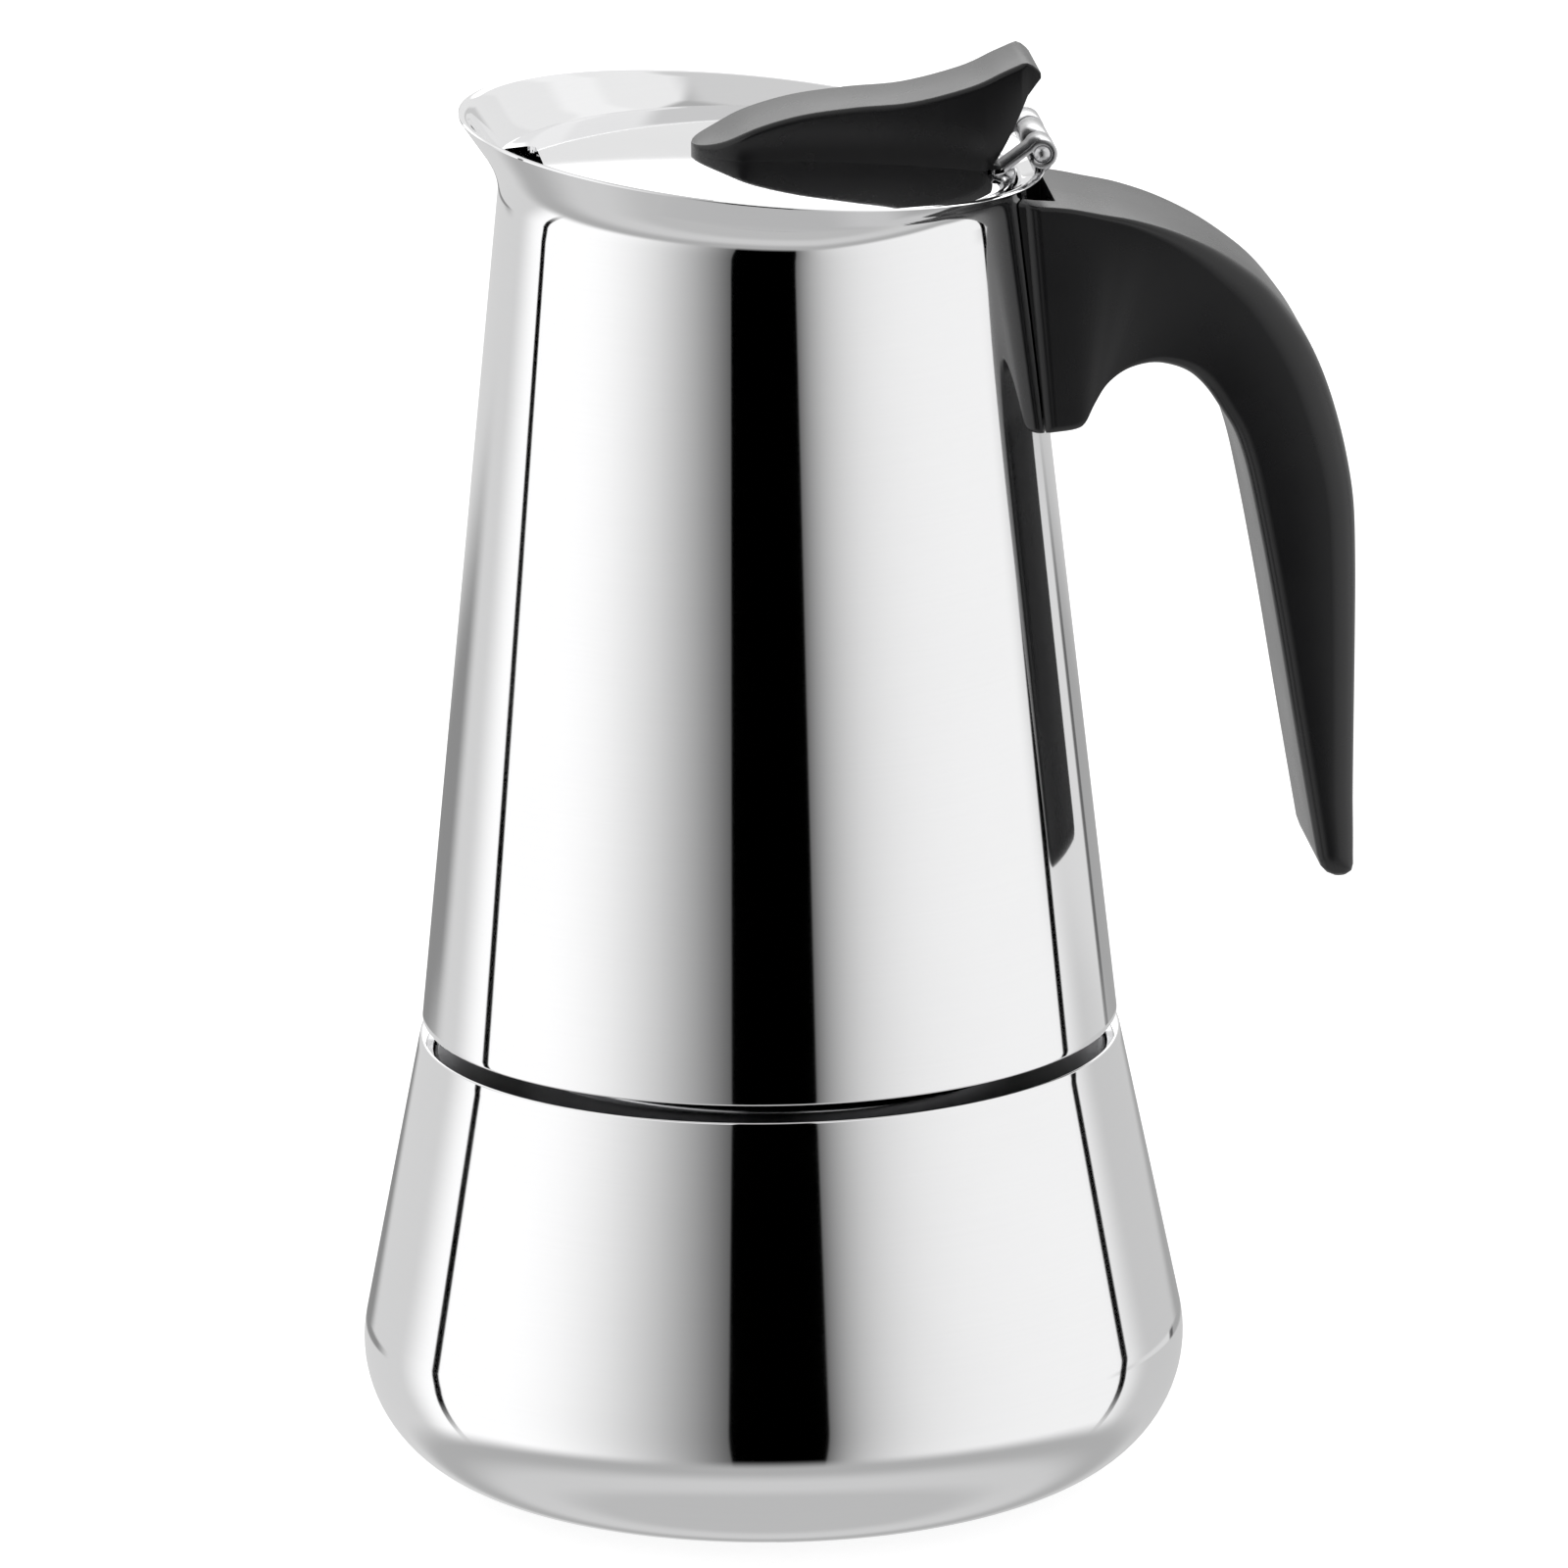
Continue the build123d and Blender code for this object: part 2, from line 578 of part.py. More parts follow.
def make_lid_leaf():
    half = HINGE_WIDTH / 2
    knuckle_top = HINGE_Z + KNUCKLE_RADIUS
    foot = knob_corner(KNOB_HEEL)[0] + LEAF_GAP
    strap = [
        (foot, lid_top(foot)),
        (foot + 2 * HINGE_SHEET, lid_top(foot)),
        (HINGE_X - KNUCKLE_RADIUS, knuckle_top - 2 * HINGE_SHEET),
        (HINGE_X, knuckle_top - HINGE_SHEET),
    ]
    leaf = across(strip_face(strap, HINGE_SHEET), HINGE_WIDTH)
    leaf += barrel(KNUCKLE_RADIUS, -half, half)
    tongue = slab(
        (LEAF_TONGUE_START, -LEAF_TONGUE_WIDTH / 2, 0),
        (foot + HINGE_SHEET, LEAF_TONGUE_WIDTH / 2, TOO_FAR),
    )
    leaf += lid_dome(-HINGE_SHEET) & tongue
    leaf -= lid_dome(0.0)
    leaf -= barrel(HINGE_PIN_RADIUS + HINGE_PIN_GAP, -half, half)
    window_low = (foot + 3 * HINGE_SHEET, -HINGE_SLOT / 2, 0)
    leaf -= slab(window_low, (TOO_FAR, HINGE_SLOT / 2, TOO_FAR))
    leaf -= Pos(KNOB_SCREWS[1], 0, 0) * disc(KNOB_SCREW_RADIUS + JOIN_GAP, 0, TOO_FAR)
    return leaf


def make_hinge_pin():
    return barrel(HINGE_PIN_RADIUS, -HINGE_WIDTH / 2 - HINGE_SIDE_GAP, HINGE_WIDTH / 2 + HINGE_SIDE_GAP)


def rim_outside_x():
    """X of the rim's outer edge on the hinge side."""
    return RIM_OFFSET + RIM_HALF_LENGTH


def make_hinge_bracket():
    width = HINGE_SLOT - 2 * HINGE_SIDE_GAP
    wall_gap = 2 * JOIN_GAP
    rim_x = max(rim_outside_x(), HINGE_X + KNUCKLE_RADIUS - HINGE_SHEET) + wall_gap
    rim_z = RIM_HEIGHT - rim_outside_x() * tan(radians(RIM_TILT))
    neck_z = NECK_HEIGHT - NECK_RADIUS * tan(radians(NECK_TILT)) - HINGE_SHEET
    foot_z = NECK_HEIGHT - HINGE_STRAP_DROP
    strap = [
        (jug_radius(foot_z) + wall_gap, foot_z),
        (jug_radius(neck_z) + wall_gap, neck_z),
        (rim_x, rim_z - HINGE_SHEET),
        (rim_x, HINGE_Z),
    ]
    outer = strip_face(strap, -HINGE_SHEET)
    bracket = across(outer, width) + barrel(KNUCKLE_RADIUS, -width / 2, width / 2)
    return bracket - barrel(HINGE_PIN_RADIUS, -width / 2, width / 2)


# ---------------------------------------------------------------- knob
def knob_corner(step):
    """Point of the knob's outline from its step off the lid's crown."""
    return (LID_OFFSET + step[0], 0, LID_EDGE_HEIGHT + LID_CROWN + step[1])


def make_knob():
    peak = knob_corner(KNOB_TAIL[-1])
    back = knob_corner(KNOB_TAIL_BACK)
    heel = knob_corner(KNOB_HEEL)
    nose = knob_corner(KNOB_TOP[0])
    toe = knob_corner(KNOB_TOE)
    floor_z = LID_EDGE_HEIGHT - LID_LIP
    outline = Spline(*[knob_corner(step) for step in KNOB_TOP + KNOB_TAIL])
    outline += Polyline(peak, back, heel, (heel[0], 0, floor_z), (toe[0], 0, floor_z), toe, nose)
    face = make_face(outline.edges())
    peaks = [v for v in face.vertices() if v.Z > heel[2] and v.X > heel[0] + 1]
    face = fillet(peaks, KNOB_PEAK_ROUND)
    knob = across(face, KNOB_WIDTH)
    half = KNOB_WIDTH / 2
    plan = Pos(nose[0] + half, 0, 0) * disc(half, floor_z, 2 * floor_z)
    plan += slab((nose[0] + half, -half, floor_z), (TOO_FAR, half, 2 * floor_z))
    knob &= plan
    knob -= lid_dome(-JOIN_GAP)
    knob -= lid_frame() * disc(TOO_FAR, -TOO_FAR, 0)
    channel = slab(
        (LEAF_TONGUE_START - JOIN_GAP, -LEAF_TONGUE_WIDTH / 2 - JOIN_GAP, 0),
        (TOO_FAR, LEAF_TONGUE_WIDTH / 2 + JOIN_GAP, TOO_FAR),
    )
    knob -= lid_dome(-HINGE_SHEET - JOIN_GAP) & channel
    for x in KNOB_SCREWS:
        knob -= Pos(x, 0, 0) * disc(KNOB_SCREW_RADIUS + JOIN_GAP, 0, lid_top(x) + KNOB_SCREW_DEPTH + JOIN_GAP)
    return knob


def washer_top(x):
    """Height of the washer's upper face under the domed lid."""
    edge = x + KNOB_WASHER_RADIUS
    return lid_top(edge) - LID_WALL - 2 * JOIN_GAP


def make_knob_screws():
    screws = []
    for x in KNOB_SCREWS:
        head_top = washer_top(x) - KNOB_WASHER_THICK
        shank = disc(KNOB_SCREW_RADIUS, head_top, lid_top(x) + KNOB_SCREW_DEPTH)
        head = disc(KNOB_SCREW_HEAD, head_top - KNOB_SCREW_HEAD_THICK, head_top)
        slot = slab(
            (-TOO_FAR, -KNOB_SCREW_SLOT / 2, head_top - KNOB_SCREW_HEAD_THICK),
            (TOO_FAR, KNOB_SCREW_SLOT / 2, head_top - KNOB_SCREW_HEAD_THICK / 2),
        )
        screws.append(Pos(x, 0, 0) * (shank + head - slot))
    return Compound(screws)


def make_knob_washers():
    washers = []
    for x in KNOB_SCREWS:
        high = washer_top(x)
        washer = ring(KNOB_SCREW_RADIUS + JOIN_GAP, KNOB_WASHER_RADIUS, high - KNOB_WASHER_THICK, high)
        washers.append(Pos(x, 0, 0) * washer)
    return Compound(washers)


# ---------------------------------------------------------------- handle and its fixing
def handle_corner(step):
    """Point of the handle's outline from its step off the neck."""
    return (NECK_RADIUS + step[0], 0, NECK_HEIGHT + step[1])


TONGUE_LOW = NECK_HEIGHT - TONGUE_DROP
TONGUE_END = NECK_RADIUS + TONGUE_REACH
HANDLE_SCREW_X = NECK_RADIUS + HANDLE_SCREW_REACH
HANDLE_SEAT = TONGUE_LOW - HANDLE_SCREW_GRIP  # where the screw's washer bears


def make_handle_bracket():
    leg_low = TONGUE_LOW - BRACKET_LEG
    foot_x = jug_radius(leg_low) + 2 * JOIN_GAP
    bend_x = jug_radius(TONGUE_LOW) + 2 * JOIN_GAP
    tongue_top = TONGUE_LOW + BRACKET_SHEET
    outline = [
        (foot_x, leg_low),
        (foot_x + BRACKET_SHEET, leg_low),
        (bend_x + BRACKET_SHEET, TONGUE_LOW),
        (TONGUE_END, TONGUE_LOW),
        (TONGUE_END, tongue_top),
        (bend_x, tongue_top),
    ]
    bracket = across(side_face(outline), BRACKET_WIDTH)
    bracket -= jug_solid(-2 * JOIN_GAP)
    return bracket - Pos(HANDLE_SCREW_X, 0, 0) * disc(HANDLE_SCREW_RADIUS, TONGUE_LOW, tongue_top)


def make_handle():
    back = [handle_corner(step) for step in HANDLE_BACK]
    grip = [handle_corner(step) for step in HANDLE_GRIP]
    arch = [handle_corner(step) for step in HANDLE_ARCH]
    foot = handle_corner(HANDLE_FOOT)
    root_low = (back[0][0], 0, foot[2])
    outline = Spline(*back)
    outline += Polyline(back[-1], grip[0])
    outline += Spline(*grip, tangents=[grip_direction(grip), HANDLE_ARCH_LEAN])
    outline += ThreePointArc(*arch)
    outline += Polyline(arch[-1], foot, root_low, back[0])
    face = make_face(outline.edges())
    tips = [v for v in face.vertices() if v.Z < grip[0][2] + 2]
    face = fillet(tips, HANDLE_TIP_ROUND)
    corner = [v for v in face.vertices() if abs(v.X - foot[0]) < JOIN_GAP and abs(v.Z - foot[2]) < JOIN_GAP]
    face = fillet(corner, HANDLE_FOOT_ROUND)
    handle = across(face, HANDLE_WIDTH)
    half = HANDLE_WIDTH / 2
    rims = handle.edges().filter_by(lambda e: abs(abs(e.center().Y) - half) < JOIN_GAP)
    return fillet(rims.sort_by(SortBy.LENGTH)[-2:], HANDLE_OUTER_ROUND)


def grip_direction(grip):
    """Direction of the grip's inner side at the tip."""
    low, high = grip[0], grip[1]
    return (high[0] - low[0], 0, high[2] - low[2])


def cut_handle(handle):
    """Handle with its saddle, notch, pocket and screw bore."""
    handle -= jug_solid(-HANDLE_FIT)
    leg_low = TONGUE_LOW - BRACKET_LEG
    notch_x = jug_radius(leg_low) + 2 * JOIN_GAP + BRACKET_SHEET + NOTCH_ROOM
    half = BRACKET_WIDTH / 2 + NOTCH_SIDE_ROOM
    handle -= slab((0, -half, leg_low - NOTCH_ROOM), (notch_x, half, TOO_FAR))
    pocket_half = BRACKET_WIDTH / 2 + JOIN_GAP
    handle -= slab(
        (0, -pocket_half, TONGUE_LOW - JOIN_GAP),
        (TONGUE_END + JOIN_GAP, pocket_half, TONGUE_LOW + BRACKET_SHEET + JOIN_GAP),
    )
    bore_top = TONGUE_LOW + BRACKET_SHEET + HANDLE_SCREW_RADIUS
    bore = disc(HANDLE_SCREW_RADIUS + JOIN_GAP, HANDLE_SEAT, bore_top)
    head_room = disc(HANDLE_SCREW_HEAD + JOIN_GAP, HANDLE_SEAT - HANDLE_HEAD_ROOM, HANDLE_SEAT)
    return handle - Pos(HANDLE_SCREW_X, 0, 0) * (bore + head_room)


def make_handle_washer():
    low = HANDLE_SEAT - HANDLE_WASHER_THICK
    washer = ring(HANDLE_SCREW_RADIUS + JOIN_GAP, HANDLE_SCREW_HEAD - JOIN_GAP, low, HANDLE_SEAT)
    return Pos(HANDLE_SCREW_X, 0, 0) * washer


def make_handle_screw():
    head_top = HANDLE_SEAT - HANDLE_WASHER_THICK
    head_low = head_top - HANDLE_SCREW_HEAD_THICK
    tip = TONGUE_LOW + BRACKET_SHEET + HANDLE_SCREW_RADIUS / 2
    shank = disc(HANDLE_SCREW_RADIUS - JOIN_GAP, head_top, tip)
    head = disc(HANDLE_SCREW_HEAD - 2 * JOIN_GAP, head_low, head_top)
    half = HANDLE_SCREW_SLOT / 2
    slot = slab((-TOO_FAR, -half, head_low), (TOO_FAR, half, head_low + HANDLE_SCREW_HEAD_THICK / 2))
    return Pos(HANDLE_SCREW_X, 0, 0) * (shank + head - slot)


# ---------------------------------------------------------------- write every piece
PIECES = {
    "boiler_shell": make_boiler_shell(),
    "boiler_base": make_boiler_base(),
    "boiler_collar": make_boiler_collar(),
    "valve_body": make_valve_body(),
    "valve_washer": make_valve_washer(),
    "valve_nut": make_valve_nut(),
    "valve_cap": make_valve_cap(),
    "valve_plunger": make_valve_plunger(),
    "valve_spring": make_valve_spring(),
    "funnel_basket": make_funnel_basket(),
    "funnel_stem": make_funnel_stem(),
    "funnel_screen": make_funnel_screen(),
    "gasket": make_gasket(),
    "filter_plate": make_filter_plate(),
    "jug_shell": make_jug_shell(),
    "jug_floor": make_jug_floor(),
    "coffee_column": make_coffee_column(),
    "column_cap": make_column_cap(),
    "handle_bracket": make_handle_bracket(),
    "handle": cut_handle(make_handle()),
    "handle_washer": make_handle_washer(),
    "handle_screw": make_handle_screw(),
    "hinge_bracket": make_hinge_bracket(),
    "hinge_pin": make_hinge_pin(),
    "lid_shell": make_lid_shell(),
    "lid_leaf": make_lid_leaf(),
    "knob": make_knob(),
    "knob_screws": make_knob_screws(),
    "knob_washers": make_knob_washers(),
}

os.makedirs("parts", exist_ok=True)
for name, piece in PIECES.items():
    export_step(piece, f"parts/{name}.step")
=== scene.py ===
"""Stove-top coffee pot: visible pieces, finishes, studio light and camera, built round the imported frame."""

import logging
import math
from dataclasses import dataclass
from enum import Enum, IntEnum
from functools import cache, cached_property
from typing import Optional, Sequence

import bmesh
import bpy
from mathutils import Matrix, Vector


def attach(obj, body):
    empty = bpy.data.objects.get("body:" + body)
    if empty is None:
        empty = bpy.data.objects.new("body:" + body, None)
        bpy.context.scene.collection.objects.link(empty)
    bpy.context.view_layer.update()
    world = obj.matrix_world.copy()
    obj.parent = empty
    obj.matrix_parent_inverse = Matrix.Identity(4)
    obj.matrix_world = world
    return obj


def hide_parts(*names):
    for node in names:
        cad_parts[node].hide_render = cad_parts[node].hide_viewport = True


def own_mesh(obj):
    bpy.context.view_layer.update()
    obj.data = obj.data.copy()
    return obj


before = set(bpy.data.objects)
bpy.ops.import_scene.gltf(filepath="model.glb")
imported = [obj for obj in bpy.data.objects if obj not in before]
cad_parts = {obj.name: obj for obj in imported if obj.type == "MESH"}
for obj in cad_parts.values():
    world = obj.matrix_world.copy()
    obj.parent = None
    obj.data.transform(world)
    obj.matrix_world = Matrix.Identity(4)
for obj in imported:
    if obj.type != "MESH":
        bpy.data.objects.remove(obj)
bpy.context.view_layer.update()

MM = 0.001
CORNER_STEPS = 6
ROUND_STEPS = 256
SHARP_ANGLE = math.radians(50.0)
LOG = logging.getLogger("coffee_pot")
Point = tuple[float, float]
Colour = tuple[float, float, float]
Numbers = tuple[float, ...]
Rows = tuple[Numbers, ...]
Section = tuple[float, float, float, float, float]
Ring = list[bmesh.types.BMEdge]
Socket = bpy.types.NodeSocket


class Steps(IntEnum):
    """Number of edges round a turned piece."""

    SHELL = 256
    BASE = 192
    THREAD = 144
    CUP = 128
    RISER = 96
    TUBE = 64
    RING = 48
    PIN = 40


# ---------------------------------------------------------------- shader building
class Bench:
    """Places and wires nodes in one node tree."""

    def __init__(self, tree: bpy.types.NodeTree) -> None:
        """Starts with an empty tree."""
        self.tree = tree
        tree.nodes.clear()

    def add(self, kind: str, inputs: Optional[dict] = None, **settings: object) -> bpy.types.Node:
        """Adds a node.

        Args:
            kind: node type, without the ShaderNode prefix.
            inputs: a value or a socket for each input, by name or place.
            settings: properties of the node.

        Returns:
            The new node.
        """
        node = self.tree.nodes.new("ShaderNode" + kind)
        for name, value in settings.items():
            setattr(node, name, value)
        for name, value in (inputs or {}).items():
            if isinstance(value, Socket):
                self.tree.links.new(value, node.inputs[name])
            else:
                node.inputs[name].default_value = value
        return node

    def math(self, operation: str, *values: object, clamp: bool = False) -> Socket:
        """Adds a Math node, clamped to 0 and 1 if asked."""
        node = self.add("Math", dict(enumerate(values)), operation=operation, use_clamp=clamp)
        return node.outputs[0]

    def times(self, value: Socket, *factors: object) -> Socket:
        """Multiplies a value by each factor."""
        for factor in factors:
            value = self.math("MULTIPLY", value, factor)
        return value

    def ramp(self, value: Socket, low: float, high: float, start: float = 0.0, end: float = 1.0) -> Socket:
        """Smooth step from start to end, while the value goes from low to high."""
        inputs = {"Value": value, "From Min": low, "From Max": high, "To Min": start, "To Max": end}
        return self.add("MapRange", inputs, interpolation_type="SMOOTHSTEP").outputs["Result"]

    def noise(self, vector: Socket, scale: object, detail: float = 3.0, rough: float = 0.55) -> Socket:
        """Noise of about 0.5, with scale in cells per metre and detail in octaves."""
        inputs = {"Vector": vector, "Scale": scale, "Detail": detail, "Roughness": rough}
        return self.add("TexNoise", inputs).outputs["Fac"]

    def mix(self, share: Socket, first: object, second: object, kind: str = "FLOAT") -> Socket:
        """Mixes two numbers, or two colours if the kind is RGBA."""
        inputs = {"Factor": share, "A": first, "B": second}
        return self.add("Mix", inputs, data_type=kind).outputs["Result"]

    def step(self, value: Socket, low: float, high: float, first: object, second: object) -> Socket:
        """Passes from the first tone to the second, while the value goes from low to high."""
        return self.mix(self.ramp(value, low, high), first, second)


class Group(Bench):
    """Bench for a node group that reads object coordinates."""

    def __init__(self, name: str, **inputs: float) -> None:
        """Starts the group.

        Args:
            name: name of the group.
            inputs: its number inputs and their first values.
        """
        super().__init__(bpy.data.node_groups.new(name, "ShaderNodeTree"))
        for label, value in inputs.items():
            socket = self.tree.interface.new_socket(label, in_out="INPUT", socket_type="NodeSocketFloat")
            socket.default_value = value
        self.given = self.tree.nodes.new("NodeGroupInput").outputs
        self.place = self.add("TexCoord").outputs["Object"]

    def end(self, **results: Socket) -> bpy.types.NodeTree:
        """Ends the group.

        Args:
            results: its outputs and what feeds them.

        Returns:
            The node group.
        """
        for label in results:
            self.tree.interface.new_socket(label, in_out="OUTPUT", socket_type="NodeSocketFloat")
        output = self.tree.nodes.new("NodeGroupOutput")
        for label, socket in results.items():
            self.tree.links.new(socket, output.inputs[label])
        return self.tree


class Effects:
    """Node groups that several finishes share, each built at its first use."""

    @staticmethod
    @cache
    def turning_lines() -> bpy.types.NodeTree:
        """Fine polishing lines that run round the Z axis.

        Returns:
            The node group, with its Mask.
        """
        group = Group("turning_lines", Lines=2500.0, Wander=3.0)
        x, y, z = group.add("SeparateXYZ", {0: group.place}).outputs
        radius = group.math("SQRT", group.math("ADD", group.times(x, x), group.times(y, y)))
        lines, angle = group.given["Lines"], group.math("ARCTAN2", y, x)
        spots = (group.times(radius, lines), group.times(z, lines), group.times(angle, group.given["Wander"]))
        joined = group.add("CombineXYZ", dict(enumerate(spots)))
        return group.end(Mask=group.noise(joined.outputs[0], 1.0, detail=4.0, rough=0.6))

    @staticmethod
    @cache
    def soft_marks() -> bpy.types.NodeTree:
        """Faint cloudy marks, such as the traces of a cloth.

        Returns:
            The node group, with its Mask.
        """
        group = Group("soft_marks", Scale=40.0, Contrast=1.0)
        cloud = group.noise(group.place, group.given["Scale"], detail=5.0, rough=0.6)
        raised = group.times(group.math("SUBTRACT", cloud, 0.5), group.given["Contrast"])
        return group.end(Mask=group.math("ADD", raised, 0.5, clamp=True))

    @staticmethod
    @cache
    def moulded_grain() -> bpy.types.NodeTree:
        """Fine matt grain of a moulding tool, with a coarser ripple under it.

        Returns:
            The node group, with its Height and its Mask.
        """
        group = Group("moulded_grain", Grain=5200.0, Ripple=160.0)
        fine = group.noise(group.place, group.given["Grain"], detail=2.0, rough=0.5)
        wide = group.noise(group.place, group.given["Ripple"], detail=2.0, rough=0.5)
        return group.end(Height=group.math("ADD", fine, group.times(wide, 1.5)), Mask=fine)

    @staticmethod
    @cache
    def edge_wear() -> bpy.types.NodeTree:
        """Mask of rubbed edges, broken up by noise.

        Returns:
            The node group, with its Mask.
        """
        group = Group("edge_wear", Breakup=900.0, Amount=1.0)
        sharp = group.ramp(group.add("NewGeometry").outputs["Pointiness"], 0.52, 0.62)
        patchy = group.ramp(group.noise(group.place, group.given["Breakup"]), 0.42, 0.62)
        both = group.times(sharp, patchy)
        return group.end(Mask=group.math("MULTIPLY", both, group.given["Amount"], clamp=True))


class Painter(Bench):
    """Bench for one material with a bumped Principled shader."""

    def __init__(self, name: str) -> None:
        """Starts the material."""
        self.material = bpy.data.materials.new(name)
        self.material.use_nodes = True
        super().__init__(self.material.node_tree)

    def effect(self, tree: bpy.types.NodeTree, **values: float) -> bpy.types.NodeOutputs:
        """Adds a shared effect with numbers for its inputs, and gives its outputs."""
        return self.add("Group", values, node_tree=tree).outputs

    def around(self, mask: Socket, middle: float, spread: float) -> Socket:
        """Moves a number by up to its spread to either side, as the mask says."""
        offset = self.times(self.math("SUBTRACT", mask, 0.5), 2 * spread)
        return self.math("ADD", offset, middle)

    def end(self, inputs: dict, height: Socket, strength: float, depth: float) -> bpy.types.Material:
        """Ends the material.

        Args:
            inputs: what feeds the shader, apart from its normal.
            height: height of the bump, from 0 to 1.
            strength: share of the bump.
            depth: height of the full bump in millimetres.

        Returns:
            The material.
        """
        bump = self.add("Bump", {"Height": height, "Strength": strength, "Distance": depth * MM})
        shader = self.add("BsdfPrincipled", {**inputs, "Normal": bump.outputs["Normal"]})
        self.add("OutputMaterial", {"Surface": shader.outputs[0]})
        return self.material


# ---------------------------------------------------------------- finishes
@dataclass(frozen=True)
class Coat:
    """What every finish states; the detail is lines or grain per metre, its depth in millimetres."""

    name: str
    tone: Colour
    second_tone: Colour
    roughness: float
    roughness_spread: float
    detail: float
    depth: float


@dataclass(frozen=True)
class Steel(Coat):
    """Metal with polishing lines round the pot's axis; its second tone is the darker one."""

    wander: float = 3.0

    def build(self) -> bpy.types.Material:
        """Builds the material.

        Returns:
            The material.
        """
        paint = Painter(self.name)
        lines = paint.effect(Effects.turning_lines(), Lines=self.detail, Wander=self.wander)["Mask"]
        marks = paint.effect(Effects.soft_marks(), Scale=55.0, Contrast=1.4)["Mask"]
        mask = paint.times(paint.math("ADD", lines, marks), 0.5)
        inputs = {
            "Base Color": paint.mix(mask, (*self.second_tone, 1), (*self.tone, 1), "RGBA"),
            "Metallic": 1.0,
            "Roughness": paint.around(mask, self.roughness, self.roughness_spread),
        }
        return paint.end(inputs, lines, 0.5, self.depth)


@dataclass(frozen=True)
class Moulding(Coat):
    """Moulded material with a fine matt grain and rubbed edges in its second tone."""

    dust: float = 1.7

    def build(self) -> bpy.types.Material:
        """Builds the material.

        Returns:
            The material.
        """
        paint = Painter(self.name)
        grain = paint.effect(Effects.moulded_grain(), Grain=self.detail, Ripple=170.0)
        marks = paint.effect(Effects.soft_marks(), Scale=70.0, Contrast=1.6)["Mask"]
        wear = paint.effect(Effects.edge_wear(), Breakup=800.0, Amount=0.35)["Mask"]
        dusty = (*[self.dust * part for part in self.tone], 1)
        shade = paint.mix(paint.times(marks, grain["Mask"], 0.5), (*self.tone, 1), dusty, "RGBA")
        inputs = {
            "Base Color": paint.mix(wear, shade, (*self.second_tone, 1), "RGBA"),
            "Roughness": paint.around(marks, self.roughness, self.roughness_spread),
        }
        return paint.end(inputs, grain["Height"], 0.6, self.depth)


class Finish(Enum):
    """The pot's finishes."""

    MIRROR = Steel("mirror_steel", (0.93, 0.93, 0.935), (0.89, 0.89, 0.895), 0.045, 0.02, 2600.0, 0.0004)
    SATIN = Steel("satin_steel", (0.74, 0.74, 0.75), (0.58, 0.58, 0.59), 0.26, 0.08, 3800.0, 0.004)
    TURNED = Steel("turned_steel", (0.80, 0.80, 0.81), (0.66, 0.66, 0.67), 0.16, 0.05, 3000.0, 0.002)
    # steel darkened as painted shade: it stands in for the shadow in the gap between the jug's foot and the
    # boiler
    PAINTED_SHADE = Steel("painted_shade_steel", (0.16, 0.16, 0.165), (0.10, 0.10, 0.105), 0.30, 0.08, 3800.0, 0.004)
    BRASS = Steel("turned_brass", (0.80, 0.62, 0.30), (0.62, 0.44, 0.18), 0.22, 0.08, 3400.0, 0.003)
    WIRE = Steel("spring_wire", (0.62, 0.62, 0.64), (0.46, 0.46, 0.48), 0.24, 0.06, 5200.0, 0.002, 40.0)
    NYLON = Moulding("black_nylon", (0.006, 0.006, 0.0065), (0.018, 0.018, 0.019), 0.27, 0.04, 5200.0, 0.007)
    SILICONE = Moulding("silicone", (0.70, 0.69, 0.66), (0.78, 0.77, 0.75), 0.52, 0.06, 3000.0, 0.010)

    @cached_property
    def material(self) -> bpy.types.Material:
        """The finish's material, built at its first use."""
        return self.value.build()


def dress(piece: bpy.types.Object, finish: Finish) -> None:
    """Gives a piece its only material."""
    piece.data.materials.clear()
    piece.data.materials.append(finish.material)


